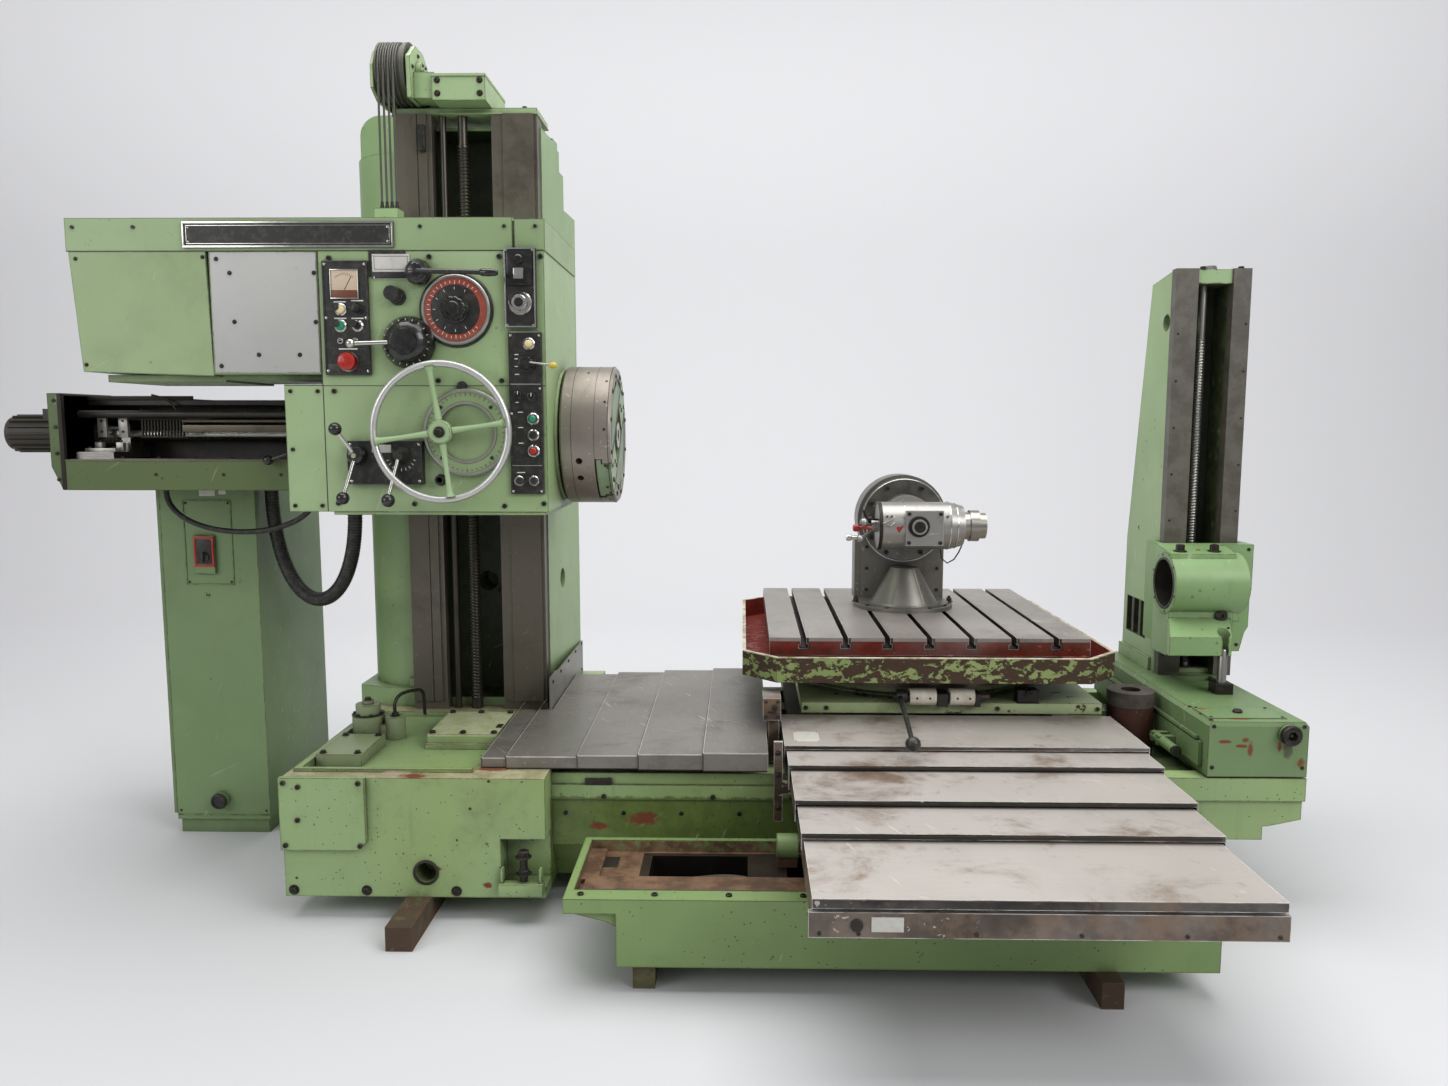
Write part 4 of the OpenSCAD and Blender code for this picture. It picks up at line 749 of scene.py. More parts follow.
        def hexa(i, d):
            a = 2 * pi * i / seg
            q = (a % (pi / 3)) - pi / 6
            rr = r * 0.48 * cos(pi / 6) / cos(q)
            return p + z * d + (x * cos(a) + y * sin(a)) * rr
        h1 = [s.bm.verts.new(hexa(i, h)) for i in range(seg)]
        h2 = [s.bm.verts.new(hexa(i, h * 0.4)) for i in range(seg)]
        for a, b in ((rings[-1], h1), (h1, h2)):
            for i in range(seg):
                s.bm.faces.new((a[i], a[(i + 1) % seg], b[(i + 1) % seg], b[i]))
        s.bm.faces.new(h2)
        return s

    def slotted(s, p, axis, r, h, turn=0.5):
        """cheese head screw; the slot is not cut."""
        x, y, z = basis(axis)
        p = Vector(p)
        d = x * cos(turn) + y * sin(turn)
        s.lathe(p, axis, [(r, 0), (r, h * 0.7), (r * 0.85, h * 0.92), (0, h)], 20)
        return s

    def knob(s, p, axis, r, h, lobes=8, depth=0.06, skirt=None, seg=48):
        """fluted plastic knob on a skirt."""
        if skirt:
            s.lathe(p, axis, [(skirt * 0.98, 0), (skirt, 1), (skirt * 0.96, h * 0.2), (r, h * 0.26)], seg)
        st = lambda a: 1 - depth * (0.5 + 0.5 * cos(lobes * a)) ** 2
        s.lathe(p, axis, [(r, h * 0.2), (r, h * 0.85), (r * 0.9, h * 0.97), (r * 0.6, h), (0, h)], seg, st)
        return s

    def thread(s, a, b, r, depth, pitch, seg=20, flat=0.5):
        """helical thread: one closed skin whose radius follows the turn, capped at both ends."""
        a, b = Vector(a), Vector(b)
        x, y, z = basis(b - a)
        Ln = (b - a).length
        steps = 4
        rows = int(Ln / pitch) * steps
        rings = []
        for i in range(rows + 1):
            h = Ln * i / rows
            ring = []
            for j in range(seg):
                an = 2 * pi * j / seg
                ph = (h / pitch - j / seg) % 1.0
                k = max(0.0, min(1.0, (abs(ph - 0.5) * 2 - 0.5) / 0.25 + 0.5))
                rr = r - depth * k
                ring.append(s.bm.verts.new(a + z * h + (x * cos(an) + y * sin(an)) * rr))
            rings.append(ring)
        for p, q in zip(rings, rings[1:]):
            for j in range(seg):
                s.bm.faces.new((p[j], p[(j + 1) % seg], q[(j + 1) % seg], q[j]))
        s.bm.faces.new(list(reversed(rings[0])))
        s.bm.faces.new(rings[-1])
        return s

    def rope(s, pts, r, strands=6, lay=9.0, per=5, seg=6):
        """wire rope: strands twisted round the line through pts."""
        pts = [Vector(p) for p in pts]
        ln = [0.0]
        for p, q in zip(pts, pts[1:]):
            ln.append(ln[-1] + (q - p).length)
        n = max(8, int(ln[-1] / (lay * r) * per))
        line = []
        for i in range(n + 1):
            d = ln[-1] * i / n
            k = 0
            while k < len(ln) - 2 and ln[k + 1] < d:
                k += 1
            f = (d - ln[k]) / max(1e-9, ln[k + 1] - ln[k])
            line.append(pts[k].lerp(pts[k + 1], f))
        rs = r * 0.36
        for q in range(strands):
            out, prev = [], None
            for i, p in enumerate(line):
                t = (line[min(i + 1, n)] - line[max(i - 1, 0)]).normalized()
                if prev is None:
                    x = basis(t)[0]
                else:
                    x = (prev - t * prev.dot(t)).normalized()
                prev = x
                y = t.cross(x)
                a = 2 * pi * (ln[-1] * i / n / (lay * r) + q / strands)
                out.append(p + (x * cos(a) + y * sin(a)) * (r - rs))
            s.tube(out, rs, seg)
        s.tube(line, r * 0.5, 6)
        return s

    def done(s):
        bm = s.bm
        bmesh.ops.recalc_face_normals(bm, faces=bm.faces)
        T = Matrix.Translation((-OX / 1000, -OY / 1000, 0)) @ Matrix.Scale(0.001, 4)
        bm.transform(T)
        lim = radians(32)
        for f in bm.faces:
            f.smooth = True
        for e in bm.edges:
            e.smooth = e.calc_face_angle(3.0) < lim
        me = bpy.data.meshes.new(s.name)
        bm.to_mesh(me)
        bm.free()
        o = bpy.data.objects.new(s.name, me)
        bpy.context.scene.collection.objects.link(o)
        me.materials.append(s.mat)
        s.obj = o
        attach(o, s.body)
        if s.rep:
            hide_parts(*s.rep)
        return o


def pile(name, body, mat, rep=()):
    return PILES.get(name) or Pile(name, body, mat, rep)


F = (0, -1, 0)      # towards the operator
U = (0, 0, 1)


def bez(a, b, c, d, n):
    a, b, c, d = map(Vector, (a, b, c, d))
    return [((1 - t) ** 3) * a + 3 * ((1 - t) ** 2) * t * b + 3 * (1 - t) * t * t * c + t ** 3 * d for t in [i / n for i in range(n + 1)]]


def curve(pts, n=8):
    """smooth line through the points."""
    pts = [Vector(p) for p in pts]
    out = []
    for i in range(len(pts) - 1):
        p0 = pts[max(i - 1, 0)]
        p1, p2 = pts[i], pts[i + 1]
        p3 = pts[min(i + 2, len(pts) - 1)]
        for k in range(n):
            t = k / n
            out.append(0.5 * ((2 * p1) + (p2 - p0) * t + (2 * p0 - 5 * p1 + 4 * p2 - p3) * t * t + (3 * p1 - p0 - 3 * p2 + p3) * t ** 3))
    out.append(pts[-1])
    return out


def length(pts):
    return sum((q - p).length for p, q in zip(pts, pts[1:]))


# ------------------------------------------------------------------- cords
hose_pts = [L(*p) for p in [(-1990, 190, 1500)] + bez((-1990, 190, 1480), (-1990, 190, 880), (-1590, 60, 880), (-1590, 60, 1413), 26)
            + [(-1590, 60, 1433)]]
arm_pts = [L(*p) for p in [(-2300, -60, 1500)] + bez((-2300, -60, 1485), (-2300, -60, 1270), (-1700, -60, 1270), (-1700, -60, 1485), 24)
           + [(-1700, -60, 1500)]]


def hose(name, pts, r, mat, ribs, amp, seg=14):
    """corrugated hose along the route of its CAD solid."""
    Ln = length(pts)
    n = int(ribs * 4)
    ln = [0.0]
    for p, q in zip(pts, pts[1:]):
        ln.append(ln[-1] + (q - p).length)
    line = []
    for i in range(n + 1):
        d = Ln * i / n
        k = 0
        while k < len(ln) - 2 and ln[k + 1] < d:
            k += 1
        f = (d - ln[k]) / (ln[k + 1] - ln[k])
        p0, p1, p2, p3 = pts[max(k - 1, 0)], pts[k], pts[k + 1], pts[min(k + 2, len(pts) - 1)]
        line.append(0.5 * ((2 * p1) + (p2 - p0) * f + (2 * p0 - 5 * p1 + 4 * p2 - p3) * f * f + (3 * p1 - p0 - 3 * p2 + p3) * f ** 3))
    P = Pile(name, "base", mat)
    del PILES[name]
    P.tube([Vector((p.x * 1000 + OX, p.y * 1000 + OY, p.z * 1000)) for p in line], r * 1000, seg,
           rf=lambda i, m: 1.0 - amp * (0.5 + 0.5 * cos(pi * i / 2)) if 0 < i < m - 1 else 1.0)
    return P, line


P, line = hose("supply_hose", hose_pts, 0.030, M["rubber"], 90, 0.10)
bm = P.bm
bmesh.ops.recalc_face_normals(bm, faces=bm.faces)
bm.transform(Matrix.Translation((-OX / 1000, -OY / 1000, 0)) @ Matrix.Scale(0.001, 4))
for f in bm.faces:
    f.smooth = True
me = bpy.data.meshes.new("supply_hose")
bm.to_mesh(me)
bm.free()
supply = bpy.data.objects.new("supply_hose", me)
bpy.context.scene.collection.objects.link(supply)
me.materials.append(M["rubber"])
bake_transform(supply)
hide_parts("hose_bundle")

P, line = hose("arm_cable", arm_pts, 0.011, M["rubber"], 70, 0.0, 12)
P.body = "headstock"
o = P.done()
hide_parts("arm_hose")

# --------------------------------------------------------------- headstock
M["red"] = plain("red_enamel", lin(178, 34, 22), 0.3, 0.0, 0.15, seed=71.0, coat=0.3)
M["green_btn"] = plain("green_button", lin(30, 140, 104), 0.3, 0.0, 0.1, seed=72.0, coat=0.3)
M["cream"] = plain("cream_lamp", lin(232, 214, 158), 0.25, 0.0, 0.1, seed=73.0, coat=0.5)
M["label"] = plain("bare_label", lin(206, 204, 196), 0.45, 0.2, 0.2, seed=74.0, dust=0.25)
M["brownface"] = plain("meter_brown", lin(112, 62, 40), 0.4, 0.0, 0.2, seed=75.0)
M["beige"] = plain("meter_beige", lin(206, 186, 160), 0.4, 0.0, 0.15, seed=76.0)
M["greysheet"] = paint("grey_sheet", lin(184, 184, 180), lin(174, 174, 170), wear=0.2, grime_and_shade=0.15, speck=0.12, chips=0.0, seed=77.0, runs=0.1, rough=0.4, scr=0.2)
M["wheelgreen"] = paint("wheel_paint", lin(158, 184, 138), lin(146, 172, 124), wear=0.6, grime_and_shade=0.3, speck=0.3, chips=0.2, seed=78.0, runs=0.0)
M["dialred"] = plain("dial_red", lin(152, 64, 46), 0.45, 0.0, 0.3, seed=79.0, dust=0.2)
M["silverring"] = plain("dial_ring", lin(184, 182, 176), 0.34, 0.9, 0.2, seed=80.0)
M["white"] = plain("white_marks", lin(224, 222, 210), 0.5, 0.0, 0.1, seed=81.0)
M["yellow"] = plain("yellow_tip", lin(206, 182, 70), 0.4, 0.0, 0.1, seed=82.0)

blk = pile("panel_trim", "headstock", M["black"])
slv = pile("panel_metal", "headstock", M["plated"])
scr = pile("headstock_bolts", "headstock", M["bolt"])
bk = pile("panel_knobs", "headstock", M["bakelite"])
wht = pile("panel_marks", "headstock", M["white"])
lab = pile("headstock_plates", "headstock", M["label"])
Y0 = -390.0


def fr(P, x0, x1, z0, z1, y, w=5.0, t=2.0, bev=0.6):
    """rectangular frame on the front, w wide and t proud of y."""
    P.box((x0, y - t, z0), (x1, y, z0 + w), bev)
    P.box((x0, y - t, z1 - w), (x1, y, z1), bev)
    P.box((x0, y - t, z0 + w), (x0 + w, y, z1 - w), bev)
    P.box((x1 - w, y - t, z0 + w), (x1, y, z1 - w), bev)


# bare name plate: steel frame, thin inner line, four rivets
fr(slv, -2001, -1244, 2377, 2468, -396, 7, 2.5)
fr(slv, -1988, -1257, 2390, 2455, -396, 2.0, 0.8, 0.2)
for x in (-1980, -1265):
    for z in (2398, 2447):
        slv.ball((x, -397, z), 4.5, F, 12, 0.6)
# grey sheet panel of the gear cover, its screws and seams
gp = pile("grey_cover_sheet", "headstock", M["greysheet"])
gp.box((-1909, -393.2, 1936), (-1527, -389.8, 2362), 1.2)
for x, z in ((-1839, 2289), (-1535, 2289), (-1830, 2117), (-1535, 2116), (-1747, 2000), (-1598, 2000), (-1885, 2338), (-1885, 1960)):
    scr.lathe((x, -393, z), F, [(8, 0), (8, 1.5), (7, 3), (0, 3.6)], 18)
seam = pile("cover_seams", "headstock", M["black"])
seam.box((-2428, -391, 2364.4), (-710, -389.9, 2367.4), 0.4)
seam.box((-1523.5, -391, 1892), (-1520.5, -389.9, 2366), 0.4)
seam.box((-1662, -391, 1890.5), (-1520, -389.9, 1893.5), 0.4)
seam.box((-1521.5, -391, 1434), (-1518.5, -389.9, 1893), 0.4)
seam.box((-1519, -391, 1889), (-712, -389.9, 1891), 0.3)
# bolts of the headstock box
for x, z in ((-1480, 2341), (-1120, 2345), (-870, 2345), (-722, 2345), (-726, 1464), (-1480, 1464), (-1480, 1870), (-1100, 1908), (-870, 1908), (-870, 1455),
             (-1200, 1462)):
    scr.cap((x, -390, z), F, 8.5, 7)
for x, z in ((-1640, 1870), (-1640, 1455), (-1540, 1870), (-1540, 1455), (-1640, 1660)):
    scr.cap((x, -390, z), F, 7, 6)
for x in (-2400, -2180, -1560, -1150, -850, -740):
    scr.cap((x, -390, 2450), F, 6.5, 5)
for x, z in ((-2395, 2340), (-2380, 1965), (-1935, 2345)):
    scr.lathe((x, -390, z), F, [(7, 0), (7, 2), (5, 3), (0, 3.4)], 18)
# panel A: meter, lamps, buttons, stop button
fr(blk, -1503, -1340, 1928, 2330, -402, 6, 2.5)
blk.box((-1503, -402, 1928), (-1340, -390, 1967), 2)
fr(slv, -1474, -1372, 2196, 2300, -402, 4, 5)
mb = pile("meter_faces", "headstock", M["beige"])
mb.box((-1470, -404.5, 2226), (-1376, -402, 2296), 0.5)
mr = pile("meter_lower", "headstock", M["brownface"])
mr.box((-1470, -405, 2200), (-1376, -402, 2227), 0.5)
blk.box((-1424, -405.5, 2228), (-1422, -404.4, 2282), 0.1, Matrix.Rotation(radians(28), 3, "Y"), (-1423, -405, 2228))
for k in range(11):
    a = radians(-42 + 8.4 * k)
    c = Vector((-1423 + 46 * sin(a), -404.9, 2238 + 46 * cos(a)))
    blk.box(c - Vector((0.6, 0.3, 4)), c + Vector((0.6, 0.3, 4)), 0.1, Matrix.Rotation(a, 3, "Y"), c)
for x, z in ((-1494, 2318), (-1350, 2318), (-1494, 1942), (-1350, 1942), (-1494, 2130), (-1350, 2130)):
    slv.lathe((x, -402, z), F, [(5, 0), (5, 1.4), (3.6, 2.4), (0, 2.8)], 14)


def lamp(P, x, z, r, y=-402, h=14):
    slv.ring((x, y, z), F, [(r, 0), (r + 7, 0), (r + 7, 3), (r + 3, 6), (r, 6)], 28)
    P.lathe((x, y, z), F, [(r, 0), (r, h * 0.7), (r * 0.86, h * 0.92), (r * 0.5, h), (0, h)], 28)


cr = pile("cream_lamps", "headstock", M["cream"])
gb = pile("green_buttons", "headstock", M["green_btn"])
rb = pile("red_buttons", "headstock", M["red"])
lamp(cr, -1440, 2159, 15)
bk.knob((-1380, -402, 2162), F, 15, 20, 10, 0.08, 20)
lamp(gb, -1443, 2102, 16, h=12)
lamp(bk, -1381, 2102, 14, h=9)
for x in (-1445, -1391):
    slv.ring((x, -402, 2048), F, [(6, 0), (12, 0), (11, 5), (6, 5)], 20)
    slv.cyl((x, -404, 2048), (x + 3, -424, 2056), 3.2, 12)
rb.lathe((-1419, -402, 1975), F, [(14, 0), (14, 14), (29, 17), (32, 22), (30, 28), (22, 32), (0, 34)], 36)
slv.ring((-1419, -402, 1975), F, [(24, 0), (36, 0), (36, 3), (24, 3)], 36)
rb.ring((-1419, -402, 1975), F, [(15, 30.6), (20, 30.2), (20, 33.8), (15, 34.6)], 30)
for x, z, w in ((-1443, 2186, 22), (-1380, 2190, 22), (-1443, 2128, 22), (-1381, 2128, 22), (-1419, 2020, 34)):
    wht.box((x - w, -402.6, z - 2.2), (x + w, -402, z + 2.2), 0.1)
# plates at the top and round knobs
lab.box((-1325, -393.4, 2266), (-1190, -390, 2354), 0.8)
fr(blk, -1318, -1197, 2300, 2347, -393.2, 1.6, 0.7, 0.2)
blk.box((-1325, -394.2, 2268), (-1190, -393, 2292), 0.4)
for x, z in ((-1319, 2349), (-1196, 2349), (-1319, 2272), (-1196, 2272)):
    slv.ball((x, -394, z), 3, F, 10, 0.6)
bk.knob((-1237, -390, 2204), F, 22, 34, 12, 0.05, 30)
bk.knob((-1101, -390, 1550), F, 18, 22, 12, 0.05, 22)
bk.knob((-1015, -390, 1886), F, 16, 20, 12, 0.05, 20)
# speed dial: steel ring, red and black rings with marks, fluted hub
dx, dz = -1027, 2158
dc = Vector((dx, 0, dz))
ds = pile("speed_dial_ring", "headstock", M["silverring"])
ds.ring((dx, -390, dz), F, [(112, 0), (124, 0), (124, 15), (120, 19), (114, 19), (111, 15)], 96)
dr = pile("speed_dial_red", "headstock", M["dialred"])
dr.ring((dx, -390, dz), F, [(88, 12), (111, 12), (111, 17.2), (88, 18.4)], 96)
db = pile("speed_dial_black", "headstock", M["black"])
db.ring((dx, -390, dz), F, [(46, 8), (88, 8), (86, 20), (60, 24), (46, 24)], 96)
for k in range(36):
    a = 2 * pi * k / 36
    if 0.9 < a < 2.1:
        continue
    d = Vector((sin(a), 0, cos(a)))
    c = dc + d * (98 if k % 3 else 95) + Vector((0, -408.2, 0))
    ln_ = 9 if k % 3 else 14
    wht.box(c - Vector((1.1, 0.5, ln_ / 2)), c + Vector((1.1, 0.5, ln_ / 2)), 0.1, Matrix.Rotation(a, 3, "Y"), c)
    if k % 3 == 0:
        c = dc + d * 74 + Vector((0, -413.2, 0))
        wht.box(c - Vector((1, 0.6, 4.5)), c + Vector((1, 0.6, 4.5)), 0.1, Matrix.Rotation(a, 3, "Y"), c)
bk.knob((dx, -412, dz), F, 44, 34, 12, 0.07, 50, 96)
bk.lathe((dx, -444, dz), F, [(26, 0), (26, 4), (22, 8), (0, 9)], 36)
dz2 = pile("dial_bezel_black", "headstock", M["black"])
dz2.ring((dx, -390, dz), F, [(124, 0), (133, 0), (133, 4), (129, 8), (124, 8)], 96)
# disc behind the large wheel
ring2 = pile("feed_dial_ring", "headstock", M["silverring"])
ring2.ring((-998, -390, 1722), F, [(143, 0), (158, 0), (158, 20), (154, 25), (146, 25), (143, 21)], 96)
ring2.ring((-998, -390, 1722), F, [(100, 10), (110, 10), (110, 24), (102, 24)], 96)
for k in range(48):
    a = 2 * pi * k / 48
    d = Vector((sin(a), 0, cos(a)))
    c = Vector((-998, -412.6, 1722)) + d * 136
    h = 6 if k % 4 else 10
    blk.box(c - Vector((0.8, 0.8, h / 2)), c + Vector((0.8, 0.8, h / 2)), 0.1, Matrix.Rotation(a, 3, "Y"), c)
for k in range(4):
    a = radians(45 + 90 * k)
    scr.cap((-998 + 128 * cos(a), -412, 1722 + 128 * sin(a)), F, 6, 4)
# lever box with its plates
fr(blk, -1430, -1158, 1535, 1692, -420, 5, 2)
for x in (-1418, -1170):
    for z in (1547, 1680):
        slv.lathe((x, -420, z), F, [(5, 0), (5, 1.4), (3.5, 2.4), (0, 2.8)], 14)
lab.box((-1340, -421.6, 1650), (-1270, -420, 1678), 0.4)
blk.lathe((-1235, -420, 1640), F, [(34, 0), (36, 3), (32, 10), (20, 26), (16, 40), (0, 42)], 32)
slv.cyl((-1235, -452, 1632), (-1260, -492, 1500), 7, 14)
bk.ball((-1262, -495, 1482), 24, (0, -0.2, -1), 28)
for k in range(9):
    a = radians(200 + 17.5 * k)
    c = Vector((-1235 + 52 * cos(a), -420.6, 1640 + 52 * sin(a)))
    wht.box(c - Vector((1, 0.5, 5)), c + Vector((1, 0.5, 5)), 0.1, Matrix.Rotation(-a + pi / 2, 3, "Y"), c)
# upper right control box
fr(slv, -848, -738, 2095, 2372, -412, 5, 3)
bk.box((-838, -424, 2240), (-748, -411, 2358), 5)
slv.box((-812, -436, 2262), (-776, -423, 2300), 3)
bk.lathe((-794, -424, 2330), F, [(16, 0), (16, 10), (12, 14), (0, 15)], 24)
slv.ring((-793, -412, 2180), F, [(26, 0), (42, 0), (42, 5), (38, 9), (28, 9)], 40)
slv.knob((-793, -416, 2180), F, 28, 26, 16, 0.04, None, 64)
bk.lathe((-793, -440, 2180), F, [(16, 0), (16, 5), (0, 6)], 24)
for x, z in ((-840, 2102), (-746, 2102), (-840, 2364), (-746, 2364)):
    slv.lathe((x, -412, z), F, [(5, 0), (5, 4), (0, 5)], 12)
# switch panel at the right edge
fr(blk, -842, -722, 1500, 2078, -402, 5, 2)
slv.box((-838, -403, 1893), (-726, -402, 1897), 0.2)
slv.box((-838, -403, 1602), (-726, -402, 1604.5), 0.2)
slv.box((-838, -403, 2076), (-726, -401.8, 2081), 0.3)
lamp(cr, -768, 2038, 15)
bk.knob((-774, -402, 1968), F, 24, 26, 8, 0.12, 32)
slv.cyl((-764, -424, 1972), (-690, -436, 1962), 4, 12)
yl = pile("yellow_tip", "headstock", M["yellow"])
yl.ball((-676, -438, 1960), 11, (1, 0, 0), 16, 1.4)
for x, z in ((-808, 1858), (-760, 1851)):
    bk.knob((x, -402, z), F, 14, 18, 6, 0.14, 18)
    wht.box((x - 1.2, -421.2, z), (x + 1.2, -419.6, z + 12), 0.2)
lamp(gb, -757, 1771, 15, h=12)
lamp(bk, -757, 1713, 14, h=10)
lamp(rb, -757, 1656, 15, h=12)
for x in (-812, -758):
    slv.ring((x, -402, 1548), F, [(12, 0), (19, 0), (19, 4), (16, 7), (12, 7)], 28)
    bk.lathe((x, -402, 1548), F, [(12, 0), (12, 6), (9, 7), (0, 7)], 24)
for z, w in ((2000, 14), (1985, 12), (1958, 12), (1930, 16), (1830, 12), (1795, 9), (1740, 9), (1684, 9), (1578, 30)):
    wht.box((-820 if z not in (1795, 1740, 1684) else -812, -402.7, z - 1.6), (-820 + w if z not in (1795, 1740, 1684) else -794, -402, z + 1.6), 0.1)
for x, z in ((-834, 2068), (-730, 2068), (-834, 1510), (-730, 1510), (-834, 1790), (-730, 1880)):
    slv.lathe((x, -402, z), F, [(4.5, 0), (4.5, 1.4), (3.2, 2.2), (0, 2.6)], 12)

# levers, each on its own body
lv = pile("speed_lever_steel", "speed_lever", M["plated"])
lv.cyl((-1150, -447, 2288), (-905, -482, 2277), 8, 16)
lb = pile("speed_lever_grip", "speed_lever", M["bakelite"], ("speed_lever",))
lb.lathe((-1154, -397, 2288), F, [(44, 0), (46, 4), (46, 28), (40, 38), (30, 43), (30, 52), (24, 56), (0, 57)], 40, lambda a: 1 - 0.03 * (0.5 + 0.5 * cos(10 * a)))
lb.lathe((-918, -481, 2277.6), Vector((60, -8, -3)), [(9, 0), (13, 6), (14, 30), (12, 56), (8, 64), (0, 66)], 24)
lb.tube([(-1150, -447, 2288), (-1050, -461, 2283.5), (-915, -481, 2277.6)], 9, 14)
fl = pile("feed_lever_steel", "feed_lever", M["plated"])
fl.cyl((-1205, -440, 2042), (-1374, -469, 2034), 8, 16)
fl.ball((-1384, -471, 2034), 17, (-1, 0, 0), 24)
fb = pile("feed_lever_hub", "feed_lever", M["bakelite"], ("feed_lever",))
fb.lathe((-1198, -396, 2042), F, [(93, 0), (95, 4), (94, 14), (84, 30), (72, 50), (62, 60), (48, 66), (44, 74), (0, 76)], 64, lambda a: 1 - 0.012 * (0.5 + 0.5 * cos(16 * a)))
fw = pile("feed_lever_marks", "feed_lever", M["white"])
for k in range(20):
    a = 2 * pi * k / 20
    c = Vector((-1198 + 78 * sin(a), -437, 2042 + 78 * cos(a)))
    fw.box(c - Vector((0.8, 1.2, 5)), c + Vector((0.8, 1.2, 5)), 0.1, Matrix.Rotation(a, 3, "Y"), c)
sh = pile("shift_lever_steel", "shift_levers", M["plated"])
sh.cyl((-1390, -450, 1640), (-1436, -496, 1726), 7.5, 16)
sh.cyl((-1390, -450, 1640), (-1420, -496, 1500), 7.5, 16)
sb = pile("shift_lever_balls", "shift_levers", M["bakelite"], ("shift_levers",))
sb.lathe((-1390, -424, 1640), F, [(32, 0), (34, 3), (34, 22), (28, 34), (18, 40), (0, 41)], 32)
sb.ball((-1440, -500, 1735), 23, (-0.4, -0.4, 0.8), 28)
sb.ball((-1422, -500, 1490), 23, (-0.2, -0.3, -0.9), 28)

# large handwheel: plated rim, four tapered green spokes, hub
hx, hy, hz = -1074.0, -470.0, 1724.0
rim = pile("handwheel_rim", "handwheel", M["rim"], ("handwheel",))
rim.torus((hx, hy, hz), F, 241, 13, 112, 20)
sp = pile("handwheel_spokes", "handwheel", M["wheelgreen"])
for k in range(4):
    a = radians(8 + 90 * k)
    d = Vector((cos(a), 0, sin(a)))
    n = 14
    pts = [Vector((hx, hy, hz)) + d * (28 + (233 - 28) * i / n) + Vector((0, 6 * cos(pi * i / n) - 6, 0)) for i in range(n + 1)]
    sp.tube(pts, 10.5, 14, rf=lambda i, m: 1.35 - 0.5 * sin(pi * min(1, i / (m - 1) * 0.9)) + (0.5 if i >= m - 1 else 0))
sp.lathe((hx, hy + 60, hz), F, [(26, 0), (28, 4), (28, 30), (40, 42), (42, 48), (42, 74), (38, 80), (0, 80)], 40)
hc = pile("handwheel_centre", "handwheel", M["bolt"])
hc.lathe((hx, hy - 18, hz), F, [(20, 0), (20, 6), (16, 9), (0, 9)], 32)
hc.hexhead((hx, hy - 26, hz), F, 22, 10)

# facing head: face screws
fh = pile("facing_head_bolts", "facing_head", M["bolt"])
xf = -692 + 194
for k in range(12):
    a = 2 * pi * (k + 0.5) / 12
    if abs(sin(a - radians(42))) > 0.0 and abs(cos(a - radians(-48 + 180))) < 2:
        r = 236
        fh.cap((xf - 1, r * cos(a), 1710 + r * sin(a)), (1, 0, 0), 8, 5)

# ---------------------------------------------- column, bed, table and tail details
M["lampred"] = plain("knob_red", lin(150, 30, 22), 0.34, 0.0, 0.2, seed=83.0, coat=0.3)
M["brass"] = plain("worn_brass", lin(176, 148, 84), 0.34, 0.8, 0.2, seed=84.0)
M["darkiron"] = steel("dark_iron", lin(58, 54, 48), lin(38, 34, 30), lin(30, 26, 20), 0.5, "r", 0.42, 0.5, 85.0, 0.6, 0.4, rust=0.05)
M["band"] = steel("steel_band", lin(112, 104, 94), lin(80, 72, 62), lin(60, 44, 32), 0.6, "x", 0.34, 0.7, 86.0, 0.9, 0.5, rust=0.15)
M["thread"] = steel("thread_steel", lin(84, 80, 72), lin(60, 56, 48), lin(36, 32, 26), 0.4, "r", 0.3, 0.8, 87.0, 0.5, 0.2)
M["brightthread"] = steel("bright_thread", lin(168, 166, 160), lin(132, 130, 124), lin(84, 78, 70), 0.35, "r", 0.26, 0.9, 88.0, 0.6, 0.2)

# ropes: straight lengths stretch between the sheave and the anchor
P = Pile("lift_ropes", "base", M["rope"])
del PILES["lift_ropes"]
for i in range(4):
    x = -1450 + 20 * i
    P.rope([(x, 107, 3162), (x, 107, 2605)], 5.2, 6, 9.0, 5, 6)
bm = P.bm
bmesh.ops.recalc_face_normals(bm, faces=bm.faces)
bm.transform(Matrix.Translation((-OX / 1000, -OY / 1000, 0)) @ Matrix.Scale(0.001, 4))
for f in bm.faces:
    f.smooth = True
me = bpy.data.meshes.new("lift_ropes")
bm.to_mesh(me)
bm.free()
ropes = bpy.data.objects.new("lift_ropes", me)
bpy.context.scene.collection.objects.link(ropes)
me.materials.append(M["rope"])
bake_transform(ropes)
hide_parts("headstock_ropes")

p = pile("sheave_ropes", "base", M["rope"])
for i in range(4):
    x = -1450 + 20 * i
    arc = [(x, 225 - 117.5 * cos(a), 3162 + 117.5 * sin(a)) for a in [pi * k / 24 for k in range(25)]]
    p.rope(arc + [(x, 342.5, 3080), (x, 342.5, 2990)], 4.8, 6, 9.0, 5, 6)
p = pile("rope_anchor_parts", "headstock", M["darkiron"])
for i in range(4):
    x = -1450 + 20 * i
    p.lathe((x, 107, 2604.5), U, [(8.5, 0), (8.5, 14), (6.2, 22), (6, 34)], 14)
p.box((-1470, 58, 2482), (-1370, 64, 2500), 1)

